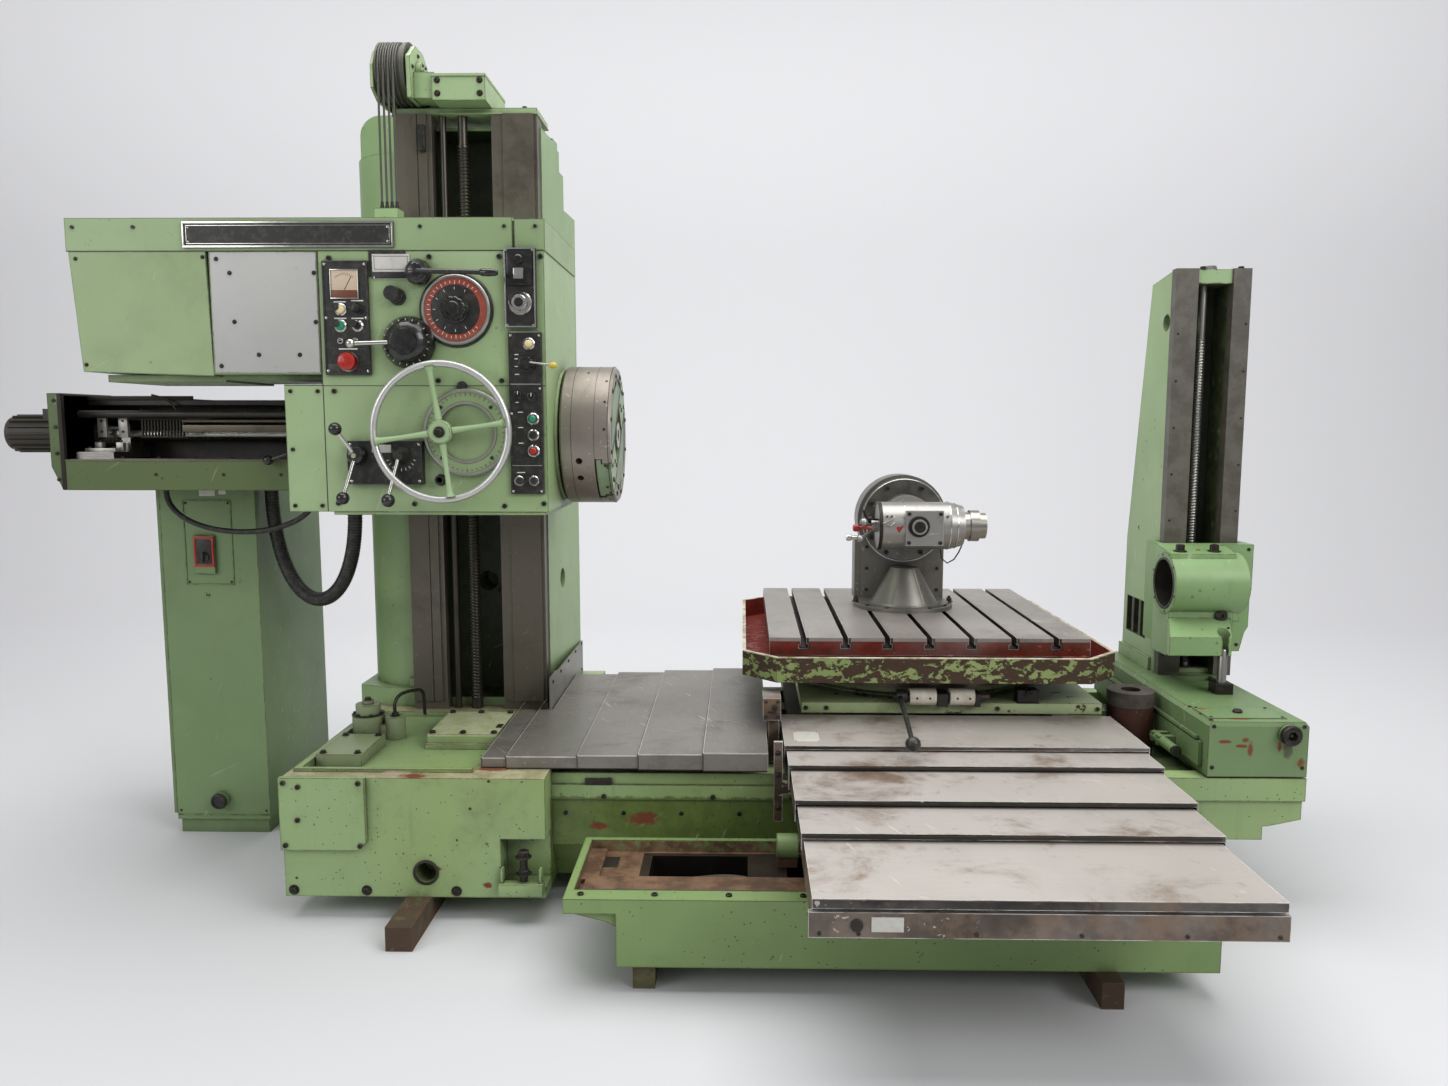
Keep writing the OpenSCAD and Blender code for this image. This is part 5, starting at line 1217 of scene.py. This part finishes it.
# lifting screw, rod and limit switch
p = pile("lift_screw_thread", "base", M["thread"], rep=("lifting_screw",))
p.thread((-1160, 268, 560), (-1160, 268, 2886), 25, 4.2, 14, 18)
p.cyl((-1160, 268, 520), (-1160, 268, 562), 25)
p.lathe((-1160, 268, 2885), U, [(25, 0), (25, 6), (20, 9), (20, 127)], 24)
p.cyl((-1240, 262, 520), (-1240, 262, 3012), 14, 20)
q = pile("limit_switch", "base", M["black"])
q.box((-1330, 205.5, 2862), (-1300, 225.5, 2965), 3)
q.box((-1327, 203.4, 2880), (-1303, 206, 2946), 1)
q.cyl((-1315, 216, 2863), (-1315, 216, 2858), 5, 12)

# bracket over the column
p = pile("bracket_bolts", "base", M["bolt"])
for x in (-1222, -1052):
    for z in (3062, 3112):
        p.hexhead((x, 130, z), F, 15, 8)
for y in (180, 420):
    p.hexhead((-1190, y, 3134), U, 16, 9)
for x in (-900, -1300, -1390):
    for y in (262, 440):
        p.hexhead((x, y, 3036.5), U, 18, 10)
for a in range(6):
    t = 2 * pi * a / 6
    p.hexhead((-1300, 225 + 35 * cos(t), 3162 + 35 * sin(t)), (1, 0, 0), 9, 5)
for a in range(5):
    t = 2 * pi * a / 5 + 0.4
    p.hexhead((-1322, 225 + 88 * cos(t), 3150 + 82 * sin(t)), (1, 0, 0), 11, 6)
p.lathe((-1488, 225, 3162), (-1, 0, 0), [(17, 0), (17, 3), (12, 6)], 20)
q = pile("eye_bolt", "base", M["darkiron"])
q.lathe((-1106, 300, 3134), U, [(17, 0), (18, 4), (12, 9), (9, 20)], 20)
q.torus((-1106, 300, 3172), (0.25, 1, 0), 17, 5.4, 32, 10)
q = pile("bracket_lid", "base", M["bracket"])
q.box((-1245, 126, 3126), (-1028, 482, 3138), 2)
q.box((-1249, 232, 3010), (-843, 484, 3018), 1.5)

# column guard plate screws and column plugs
p = pile("guard_screws", "base", M["bolt"])
for y in (110, 300, 500, 700, 890):
    for z in (545, 676):
        p.lathe((-798, y, z), (1, 0, 0), [(7, 0), (7, 3), (4, 5), (0, 5)], 14)
for k, z in enumerate(range(620, 2980, 180)):
    for x in (-1352, -940):
        pass
p = pile("column_plugs", "base", M["darkiron"])
for z in (1010, 1420, 2540):
    p.lathe((-1090, 470, z), F, [(16, 0), (16, 4), (9, 6)], 18)
for y, z in ((400, 2600), (480, 1900), (536, 1100)):
    p.lathe((-847, y, z), (1, 0, 0), [(15, 0), (15, 3), (10, 5)], 18)

# bed block front: plugs, panel screws, levelling foot
p = pile("bed_bolts", "base", M["bolt"])
for x, z in ((-1552, 492), (-1558, 372), (-1604, 280), (-1340, 280), (-1604, 506), (-1340, 506)):
    p.cap((x, -680, z), F, 9, 6)
for x in (-1590, -1330, -1010, -720):
    p.hexhead((x, -660, 108), F, 22, 10)
for x in (-500, -105, 180, 470):
    p.cap((x, -538, 415), F, 9, 6)
for x in range(-640, 1300, 210):
    p.lathe((x, -530, 350), F, [(8, 0), (8, 2.5), (5, 4)], 14)
for x, y in ((-1208, -238), (-967, -238), (-1208, 52), (-967, 52), (-1088, -238), (-1088, 52)):
    p.cap((x, y, 556), U, 12, 9)
for x, y in ((-1548, -460), (-1420, -460), (-1548, -240), (-1420, -240)):
    p.hexhead((x, y, 545), U, 17, 9)
q = pile("bed_fittings", "base", M["darkiron"])
q.ring((-1117, -660, 176), F, [(37, -2), (46, -2), (46, 3), (43, 5), (37, 5)], 40)
q.cyl((-769, -664, 150), (-769, -664, 250), 14, 18)
q.hexhead((-769, -664, 236), U, 34, 22)
q.hexhead((-769, -664, 176), U, 34, 14)
q.box((-568, -539, 456), (-471, -532, 481), 1)
for i in range(12):
    q.box((-565 + 8 * i, -541, 458), (-561 + 8 * i, -538.5, 479), 0.4)
q = pile("levelling_foot", "base", M["bed"])
q.box((-855, -700, 104), (-696, -655, 150), 6)
q.box((-848, -686, 149), (-838, -656, 200), 3)
q.box((-712, -686, 149), (-702, -656, 200), 3)
q = pile("slot_plates", "base", M["darkiron"])
q.box((-1262, -70, 519.5), (-1236, -10, 522), 0.8)
q.box((-978, -165, 556), (-956, -120, 559), 0.8)

# pump dressing
p = pile("pump_bolts", "base", M["bolt"])
for a in range(6):
    t = 2 * pi * a / 6
    p.hexhead((-1500 + 55 * cos(t), -120 + 55 * sin(t), 600), U, 10, 6)
p.hexhead((-1500, -120, 655), U, 20, 10)
p.hexhead((-1392, -120, 590), U, 24, 12)
q = pile("pump_pipe", "base", M["darkiron"])
q.tube(curve([(-1392, -120, 600), (-1392, -120, 640), (-1380, -90, 668), (-1350, -20, 668), (-1335, 60, 640), (-1335, 80, 540)], 8), 7, 12)
q.ring((-1500, -120, 596), U, [(48, 0), (63, 0), (64, 4), (48, 5)], 40)

# support trough: curled steel band, swarf strip and bolts
p = pile("steel_band_coil", "base", M["band"])
pts = [(-203 + 30 * i, -900 + 3 * sin(i * 0.7) - 5 * i, 266 + 22 * sin(pi * i / 12) ** 2) for i in range(0, 13)]
c = curve(pts, 6)
for a, b in zip(c, c[1:]):
    pass
bmv = p.bm
prev = None
for k, v in enumerate(c):
    w = Vector((0.10, 1.0, 0.10)).normalized() * 17
    n = Vector((0, -0.1, 1)).normalized() * 0.9
    ring = [bmv.verts.new(v + w + n), bmv.verts.new(v - w + n), bmv.verts.new(v - w - n), bmv.verts.new(v + w - n)]
    if prev:
        for i in range(4):
            bmv.faces.new((prev[i], prev[(i + 1) % 4], ring[(i + 1) % 4], ring[i]))
    else:
        bmv.faces.new(list(reversed(ring)))
    prev = ring
bmv.faces.new(prev)
p = pile("support_bolts", "base", M["bolt"])
for x in range(-500, 1440, 230):
    for y in (-1094, 1294):
        p.cap((x, y, 303), U, 10, 6)
q = pile("way_oil_strip", "base", M["band"])
for y in (-1034, 1234):
    q.box((-500, y - 5, 290), (1440, y + 5, 291.5), 0.4)
# plate lying in the trough
q = pile("trough_scrap", "base", M["darkiron"])
q.box((-470, -800, 262), (-420, -716, 264), 0.5)

# cover details: bare label, rivets, plugs, limit block and wiper parts
p = pile("cover_label", "cross_slide", M["label"])
p.box((188, -522, 617), (280, -401, 618.6), 0.5)
q = pile("cover_rivets", "cross_slide", M["darkiron"])
for x, y in ((193, -517), (275, -517), (193, -406), (275, -406)):
    q.lathe((x, y, 618.5), U, [(3, 0), (3, 0.8), (0, 1.6)], 10)
p = pile("end_plate_plug", "saddle", M["darkiron"])
p.ring((299, -1588, 487 - 30), F, [(0.1, 0), (17, 0), (17, 5), (13, 7), (0.1, 7)], 28)
for x in (-0, 120, 480, 800, 1120, 1400):
    p.lathe((182 + 20 + x * 0.85, -1588, 434), F, [(6, 0), (6, 2.5), (3.5, 4)], 12)
q = pile("end_plate_blank", "saddle", M["label"])
q.box((337, -1591, 440), (421, -1587, 480), 0.8)
q = pile("limit_block_parts", "saddle", M["darkiron"])
q.lathe((123, -330, 690), F, [(12, 0), (12, 4), (7, 6)], 20)
for x, z in ((90, 655), (134, 655), (90, 712), (134, 712)):
    q.cap((x, -330, z), F, 6, 5)
q.box((96, -334, 668), (128, -329, 676), 1)
q = pile("wiper_parts", "saddle", M["bolt"])
for z in (400, 520, 600):
    q.hexhead((127, -600, z), F, 12, 7)

# dark strips along the front edges of the moving covers: painted shadow under each cover's lip
for i in (2, 3, 4):
    zc = (617, 597, 577, 555)[i - 1]
    yf = (-570, -724, -1005, -1217)[i - 1]
    wd = (1290 - 16 * i) / 2
    p = pile("front_cover_%d_strip" % i, "front_cover_%d" % i, M["darkiron"])
    p.box((795 - wd + 4, yf - 3.5, zc - 13), (795 + wd - 4, yf + 1, zc - 4.5), 0.6)
# cross slide: oiler, clamp screws
p = pile("slide_bolts", "cross_slide", M["bolt"])
for x in (250, 330, 1000, 1390):
    p.cap((x, -165, 646), F, 8, 6)
for x in (676, 726, 832, 880):
    p.lathe((x, -223 + 0.2, 700), F, [(4.5, -0.5), (4.5, 1.2), (2, 2)], 12)
for a in range(0, 360, 15):
    t = radians(a)
    if 195 < a < 345:
        p.lathe((730 + 566 * cos(t), 465 + 566 * sin(t), 684), U, [(6, 0), (6, 2), (3, 3)], 10)
p.hexhead((1120, -165, 706), U, 14, 10)
q = pile("slide_scale", "cross_slide", M["band"])
q.ring((730, 465, 0), U, [(583, 712), (585, 712), (585, 738), (583, 738)], 160)
q = pile("clamp_lever_steel", "clamp_lever", M["black"], rep=("clamp_lever",))
q.lathe((598, -190, 700), (1, 0, 0), [(24, 0), (26, 2), (26, 40), (24, 42)], 32)
q.tube([(614, -200, 700), (610, -270, 694), (602, -430, 680), (590, -655, 657)], 10, 14, rf=lambda i, n: 1.15 - 0.1 * i)
q.ball((589, -668, 656), 27, (0, -1, 0), 28)

# ------------------------------------------- arm, facing head, milling head, tail
M["armsteel"] = steel("arm_steel", lin(112, 104, 90), lin(78, 72, 60), lin(40, 34, 26), 0.55, "x", 0.36, 0.6, 91.0, 0.7, 0.4)
M["armdark"] = steel("arm_dark", lin(50, 44, 36), lin(32, 28, 24), lin(22, 19, 15), 0.6, "x", 0.5, 0.4, 92.0, 0.3, 0.3)
M["carriage"] = steel("carriage_steel", lin(196, 192, 184), lin(150, 146, 138), lin(70, 60, 48), 0.4, "z", 0.28, 0.7, 93.0, 0.6, 0.3)
M["coveredge"] = steel("cover_edge", lin(204, 198, 190), lin(160, 153, 144), lin(96, 84, 70), 0.6, "x", 0.3, 0.4, 97.0, 0.9, 0.3)
RT = (1, 0, 0)
LF = (-1, 0, 0)

p = pile("arm_rails", "headstock", M["armsteel"])
p.box((-2592, -191, 1613.5), (-1690, -149, 1619), 1)
p.box((-2196, -34, 1780), (-1690, -14, 1806), 2)
p.box((-2199, -101, 1722), (-1690, -90, 1748), 2)
p.box((-2594, -231.4, 1611.5), (-1690, -211, 1616.5), 1)
p.box((-2590, 60, 1776), (-1690, 76.5, 1800), 2)
p.cyl((-2199, -96, 1764), (-1690, -96, 1764), 7, 14)
p = pile("arm_cover_plates", "headstock", M["armdark"])
p.box((-2614, -66, 1846), (-2172, -54, 1862), 2)
p.box((-2610, -60, 1846), (-2172, 94, 1850), 1)
for k in range(14):
    p.box((-2362 + 12.5 * k, -99, 1704), (-2356 + 12.5 * k, -90, 1770), 1)
p.box((-2366, -99, 1768), (-2184, -90, 1774), 1)
p.box((-2366, -99, 1698), (-2184, -90, 1704), 1)
p.box((-2594, -212, 1560), (-2590, 90, 1860), 0.5)
p.box((-2604, -233, 1502), (-2588, -214, 1868), 2)
p.box((-2330, 70, 1700), (-2180, 77, 1790), 2)
q = pile("arm_bolts", "headstock", M["bolt"])
for x in range(-2540, -1700, 140):
    q.cap((x, -170, 1619), U, 7, 7)
    q.cap((x, -24, 1806), U, 6, 6)
for z in (1540, 1640, 1740, 1840):
    q.slotted((-2616, -230.5, z), F, 7, 4)
for x in (-2240, -1980, -1760):
    q.slotted((x, -230.5, 1560), F, 6, 3)
q.tube([(-2330, -70, 1866), (-2296, -76, 1858), (-2262, -80, 1846), (-2236, -92, 1826), (-2220, -95, 1806)], 4, 10)
q = pile("arm_lever", "headstock", M["bakelite"])
q.ball((-1792, -262, 1616), 19, F, 24)
q.tube([(-1792, -262, 1616), (-1740, -262, 1632), (-1690, -262, 1652), (-1664, -255, 1660), (-1662, -238, 1662)], 7, 12)
p = pile("carriage_blocks", "boring_spindle", M["carriage"])
for x in (-2546, -2462):
    p.box((x, -84, 1700), (x + 36, -70.5, 1790), 2)
    p.box((x + 6, -118, 1645.5), (x + 34, -96, 1680), 2)
p.box((-2560, -150, 1645.5), (-2440, -128, 1658), 2)
q = pile("carriage_bolts", "boring_spindle", M["bolt"])
for x in (-2528, -2444):
    q.cap((x, -77, 1790), U, 9, 12)
    q.cap((x, -84, 1722), F, 5, 3)
    q.cap((x, -84, 1764), F, 5, 3)
    q.cap((x + 2, -107, 1680), U, 6, 7)
for x in (-2548, -2452):
    q.cap((x, -139, 1658), U, 6, 6)

# facing head: screws in the rim, groove lines, screws of the slide
q = pile("facing_head_screws", "facing_head", M["bolt"])
for k in range(12):
    a = radians(15 + 30 * k)
    q.cap((-499, 240 * cos(a), 1710 + 240 * sin(a)), RT, 7, 3)
for k in range(4):
    a = radians(8 + 90 * k)
    q.lathe((-504, 209 * cos(a), 1710 + 209 * sin(a)), RT, [(11, 0), (11, 3), (7, 4), (0, 4)], 20)
for a in (130, 152, 175, 205, 228, 250):
    c, n = radians(a), (0, cos(radians(a)), sin(radians(a)))
    q.lathe((-520, 267.5 * cos(c), 1710 + 267.5 * sin(c)), n, [(5, 0), (5, 1.6), (0, 1.8)], 14)
p = pile("facing_head_grooves", "facing_head", M["armdark"])
for x, w in ((-646, 1.8), (-560, 1.4), (-509, 2.2)):
    p.ring((x, 0, 1710), RT, [(266, 0), (268.5, 0), (268.5, w), (266, w)], 120)
p.ring((-503.9, 0, 1710), RT, [(195, 0), (197, 0), (197, 0.8), (195, 0.8)], 120)
q = pile("facing_slide_screws", "facing_slide", M["bolt"])
th = radians(-48)
for y, z in ((-40, 215), (40, 215), (-40, -215), (40, -215), (0, 150), (0, -150), (-40, 130), (40, -130)):
    q.cap((-499, y * cos(th) - z * sin(th), 1710 + y * sin(th) + z * cos(th)), RT, 9, 3)

# milling head on the table
q = pile("milling_head_bolts", "milling_head", M["bolt"])
for a in (28, 62, 118, 152, 208, 242, 298, 332):
    c = radians(a)
    q.cap((735 + 166 * cos(c), 585, 1318 + 166 * sin(c)), F, 11, 12)
for x in (713, 847):
    for z in (1248, 1372):
        q.cap((x, 288, z), F, 8, 8)
for x in (620, 640, 880):
    q.lathe((x, 300 if x < 800 else 302, 1360), (0, -0.85, 0.5), [(5, 0), (5, 3), (0, 3.6)], 14)
q.ring((755, 288, 1318), F, [(33, 0), (46, 0), (46, 4), (43, 6), (33, 6)], 44)
q.lathe((755, 262, 1318), F, [(24, 0), (24, 5), (12, 6), (12, 3), (0, 3)], 30)
q.ring((588, 400, 1312), RT, [(98, 0), (106, 0), (106, 14), (104, 16), (98, 16)], 72)
q.lathe((560, 372, 1340), LF, [(15, 0), (15, 14), (11, 20), (11, 44), (0, 46)], 24)
q.tube([(590, 372, 1340), (540, 352, 1346), (524, 330, 1370), (520, 322, 1388)], 5, 10)
q.tube([(873, 420, 1205), (880, 422, 1165), (905, 424, 1143), (935, 424, 1160), (955, 424, 1192), (968, 424, 1222)], 3, 10)
p = pile("milling_head_trim", "milling_head", M["plated"])
p.torus((735, 584.5, 1318), F, 187, 3.2, 96, 10)
p.ring((700, 400, 1312), RT, [(103, 0), (105.4, 0), (105.4, 3), (103, 3)], 72)
p.ring((893, 400, 1312), RT, [(103, 0), (105.6, 0), (105.6, 5), (103, 5)], 72)
p.ring((925, 400, 1312), RT, [(96, 0), (99.5, 0), (99, 4), (96, 4)], 72)
p.tube([(604, 300, 1330), (622, 292, 1340), (646, 292, 1354)], 4.5, 10)
p.tube([(612, 298, 1326), (634, 291, 1322), (652, 293, 1334)], 4, 10)
p.lathe((470, 318, 1267), LF, [(9, -40), (9, 0), (14, 4), (15, 16), (11, 24), (0, 26)], 20)
p = pile("milling_red_knob", "milling_head", M["lampred"])
p.lathe((505, 330, 1308), LF, [(8, -52), (8, 0), (15, 5), (17, 18), (13, 28), (0, 31)], 24)
p.lathe((672, 297.5, 1307), F, [(13, 0), (12, 1.5), (0, 2)], 9, lambda a: 1 + 0.25 * sin(3 * a))
p.lathe((684, 297.5, 1316), F, [(7, 0), (6, 1.4), (0, 2)], 8, lambda a: 1 + 0.3 * sin(2 * a))
p = pile("stand_trim", "table", M["flange"])
for s in (-1, 1):
    for d in (28, 30):
        a = radians(d)
        p.tube([(735 + s * 149 * sin(a), 540 - 149 * cos(a), 951), (735 + s * 63 * sin(a), 540 - 63 * cos(a), 1108)], 3.5, 8)
p.torus((735, 540, 951), U, 150, 5, 72, 10)
p.torus((735, 585, 941), U, 222, 3, 96, 8)
q = pile("stand_bolts", "table", M["bolt"])
for x in (521, 949):
    q.hexhead((x, 585, 943), U, 22, 16)
    q.lathe((x, 585, 959), U, [(7, 0), (7, 10), (5, 12), (0, 12)], 16)
for x, y in ((640, 400), (830, 400), (560, 470), (910, 470)):
    q.cap((x, y, 943), U, 8, 6)
for x in (575, 900):
    for z in (990, 1090, 1190):
        q.cap((x, 640, z), F, 8, 5)
# slots of the table end in the red front; dark plates lie in their floors as painted shade
q = pile("slot_floor_shade", "table", M["armdark"])
for i in range(7):
    x = 735 + (i - 3) * 164
    q.box((x - 17.5, -150, 881.4), (x + 17.5, 1080, 883.4), 0.3)

# end support
p = pile("tail_screw_thread", "end_support", M["brightthread"], rep=("end_support_screw",))
p.thread((1898, 258, 742), (1898, 258, 2104), 20, 3.2, 12, 18)
p.lathe((1898, 258, 730), U, [(20, 0), (20, 14)], 24)
p.lathe((1898, 258, 2103), U, [(20, 0), (20, 3), (17, 6), (17, 216)], 24)
p.lathe((1880, -130, 706), U, [(18, 0), (18, 168), (15, 174), (0, 174)], 28)
p.lathe((1898, 200, 2377), U, [(26, 0), (26, 3), (22, 17), (0, 17)], 6)
q = pile("tail_bolts", "end_support", M["bolt"])
q.box((1846, -164, 706), (1914, -96, 748), 3)
for x in (1861, 2013):
    q.hexhead((x if x < 1900 else 2014, 182, 2376), U, 20, 12)
for y in (-520, -440, -340, 560):
    q.slotted((1672, y, 706), U, 8, 3)
for x, z in ((1672, 540), (1990, 540), (1672, 690), (1990, 690)):
    q.slotted((x, -545, z), F, 7, 3)
for z in range(790, 2300, 190):
    q.slotted((1765, 160, z), F, 5, 2)
    q.slotted((2036, 160, z + 40), F, 5, 2)
q.ring((1935, -572, 663), F, [(17, -20), (17, 5), (24, 7), (33, 5), (36.5, 0), (36.5, -14), (30, -20)], 40)
q.lathe((1935, -556, 663), F, [(9, 0), (9, 10), (6, 12), (0, 12)], 6)
q.lathe((1808, -426, 709), U, [(17, 0), (17, 6), (12, 12), (6, 13), (0, 13)], 24)
q.lathe((1595, -420, 560), F, [(19.6, -6), (19.6, 3), (12, 4), (12, 1), (0, 1)], 28)
p = pile("tail_cover_plate", "end_support", M["tailbase"])
p.box((1672, -503, 705.4), (1950, -352, 709), 1.4)
p.box((1640, -470, 622), (1656, 580, 634), 2)
for x, y in ((1684, -490), (1938, -490), (1684, -364), (1938, -364)):
    q.slotted((x, y, 709), U, 6, 2.4)
q = pile("bearing_block_bolts", "bearing_block", M["bolt"])
for x in (1745, 1880):
    q.hexhead((x, -10, 1250), U, 30, 24)
for x, z in ((2070, 1246), (2070, 1100), (1960, 850), (2040, 850), (1962, 1246)):
    q.slotted((x, 100, z), F, 7, 3)
for z in (880, 960):
    q.slotted((1906, -104 - (z - 930) * 0.2, z), F, 5, 2.4)
q.ring((1896, -62, 1000), F, [(10, 0), (24, 0), (24, 8), (20, 12), (10, 12)], 32)
q.lathe((1896, -62, 1000), F, [(10, 0), (10, 5), (0, 5)], 20)
for a in range(0, 360, 60):
    c = radians(a + 20)
    q.lathe((1690.2, 113.5 * cos(c), 1122 + 113.5 * sin(c)), LF, [(4.5, 0), (4.5, 1.6), (0, 2)], 12)
q = pile("bearing_seal", "bearing_block", M["black"])
q.ring((1690, 0, 1122), LF, [(95.4, -60), (95.4, 2.4), (103, 2.4), (105, 0.2), (103, -1), (98, -1), (98, -60)], 72)
q.ring((1981, 0, 1122), RT, [(95.4, -60), (95.4, 2.4), (103, 2.4), (105, 0.2), (103, -1), (98, -1), (98, -60)], 72)
p = pile("block_oil_cup", "bearing_block", M["brass"])
p.lathe((1820, 0, 1244), U, [(9, -4), (9, 4), (6, 8), (6, 14), (0, 15)], 20)

# cabinet: inset panel, red switch, bolts and labels
p = pile("cabinet_panel", "base", M["cab"])
fr(p, -2335, -2131, 1081, 1438, 118, 5, 3)
p.box((-2428, 116.5, 78), (-2032, 118, 84), 0.5)
p.box((-2031, 176, 1496), (-1946, 236, 1500), 0.8)
q = pile("cabinet_switch_frame", "base", M["red"])
fr(q, -2289, -2206, 1160, 1286, 104, 8, 4)
q = pile("cabinet_switch", "base", M["black"])
q.box((-2278, 101, 1172), (-2217, 104.5, 1274), 1)
q.lathe((-2247, 101, 1200), F, [(22, 0), (22, 5), (18, 8), (0, 8)], 30)
q.box((-2251, 82, 1178), (-2243, 94, 1224), 2)
q.lathe((-2235, 92, 150), F, [(34, 0), (35, 3), (32, 10), (26, 12), (26, 6), (0, 6)], 32)
q.lathe((-1990, 190, 1500.5), (0, 0, -1), [(40, -2), (40, 8), (34, 12), (34, 24), (31, 26)], 32)
q = pile("cabinet_bolts", "base", M["bolt"])
for x, z in ((-2322, 1094), (-2144, 1094), (-2322, 1425), (-2144, 1425), (-2415, 1770), (-2045, 1770), (-2415, 100), (-2045, 100)):
    q.slotted((x, 118, z), F, 5, 2.4)
for x in (-2020, -1962):
    for z in (1512, 1588):
        q.slotted((x, 150, z), F, 4.5, 2.2)
p = pile("cabinet_labels", "base", M["label"])
p.box((-2262, 116.8, 1455), (-2196, 118, 1492), 0.4)
p.box((-2180, 116.8, 1462), (-2150, 118, 1490), 0.4)

# dark strips painted as shadow under each bed cover's lip and along its left edge, and bright strips on its edges
BX = (-940, -850, -592, -372, -140)
BR = (-640, -560, -325, -105, 92)
BZ = (558, 566.5, 575, 583.5, 592)
BB = ("base", "base", "bed_cover_3", "bed_cover_4", "saddle")
for i in range(5):
    d, z, x0, x1 = 9 * i, BZ[i], BX[i], BR[i]
    b = 522 if i < 2 else 525
    p = pile("bed_cover_edge_%d" % (i + 1), BB[i], M["coveredge"])
    p.box((x0 + 2, -546.2 - d, z - 4), (x1, -544.4 - d, z + 0.5), 0.2)
    p.box((x0 - 0.2, -545 - d, z - 0.3), (x0 + 1.2, 290, z + 0.3), 0.1)
    q = pile("bed_cover_shadow_line_%d" % (i + 1), BB[i], M["armdark"])
    q.box((x0 - 2.4, -545 - d, z - 6.5), (x0 + 0.1, 290, z - 0.4), 0.1)
    q.box((x0 - 0.4, -546.4 - d, b), (x0 + 2.2, -544.6 - d, z - 1), 0.1)
    q.box((x0 + 3, -546 - d, b - 0.4), (x1 - 2, -544.8 - d, b + 3), 0.1)
# coloured caps of the right strip
gb.lathe((-757, -416, 1771), F, [(12.5, 0), (12.5, 5), (9, 8), (0, 9)], 24)
rb.lathe((-757, -416, 1656), F, [(12.5, 0), (12.5, 5), (9, 8), (0, 9)], 24)
cr.lathe((-768, -416, 2038), F, [(12.5, 0), (12.5, 4), (8, 8), (0, 9)], 24)

for _p in list(PILES.values()):
    _p.done()
#<<<PARTS

# ------------------------------------------------------------------- stage
def stage():
    me = bpy.data.meshes.new("floor")
    s, w = 40.0, 40.0
    bm = bmesh.new()
    # floor that curves up into a backdrop far behind
    prof = [(-s, 0.0), (5.0, 0.0)]
    for i in range(13):
        a = radians(90 * i / 12)
        prof.append((5.0 + 4.0 * sin(a), 4.0 - 4.0 * cos(a)))
    prof.append((9.0, 26.0))
    rows = [[bm.verts.new((x, y, z)) for y, z in prof] for x in (-w, w)]
    for a, b, c, d in zip(rows[0], rows[0][1:], rows[1], rows[1][1:]):
        f = bm.faces.new((a, c, d, b))
        f.smooth = True
    bm.to_mesh(me)
    bm.free()
    o = bpy.data.objects.new("floor", me)
    bpy.context.scene.collection.objects.link(o)
    g = G("floor_pale")
    g.set(Base_Color=lin(206, 206, 208), Roughness=0.85, Specular_IOR_Level=0.1)
    me.materials.append(g.mat)
    w = bpy.data.worlds.new("studio")
    bpy.context.scene.world = w
    w.use_nodes = True
    bg = w.node_tree.nodes["Background"]
    bg.inputs[0].default_value = (0.96, 0.97, 1.0, 1)
    bg.inputs[1].default_value = 0.33

    def area(name, loc, target, size, power, colour=(1, 1, 1)):
        d = bpy.data.lights.new(name, "AREA")
        d.shape = "RECTANGLE"
        d.size, d.size_y = size
        d.energy = power
        d.color = colour
        o = bpy.data.objects.new(name, d)
        bpy.context.scene.collection.objects.link(o)
        o.location = loc
        o.rotation_euler = (Vector(target) - Vector(loc)).to_track_quat("-Z", "Y").to_euler()
    area("key", (6.0, -5.4, 5.6), (0.0, 0, 1.2), (4.5, 3.5), 330)
    area("top", (0.2, 0.1, 6.8), (0.2, 0.1, 0), (8.0, 5.5), 505)
    area("fill", (-6.0, -5.0, 3.6), (-0.6, 0, 1.5), (4.0, 3.0), 130)
    area("back", (0.0, 4.4, 7.6), (0.0, 9.0, 4.6), (24.0, 3.0), 640)
    bpy.context.scene.view_settings.view_transform = "Standard"
    bpy.context.scene.view_settings.exposure = 0.0


stage()
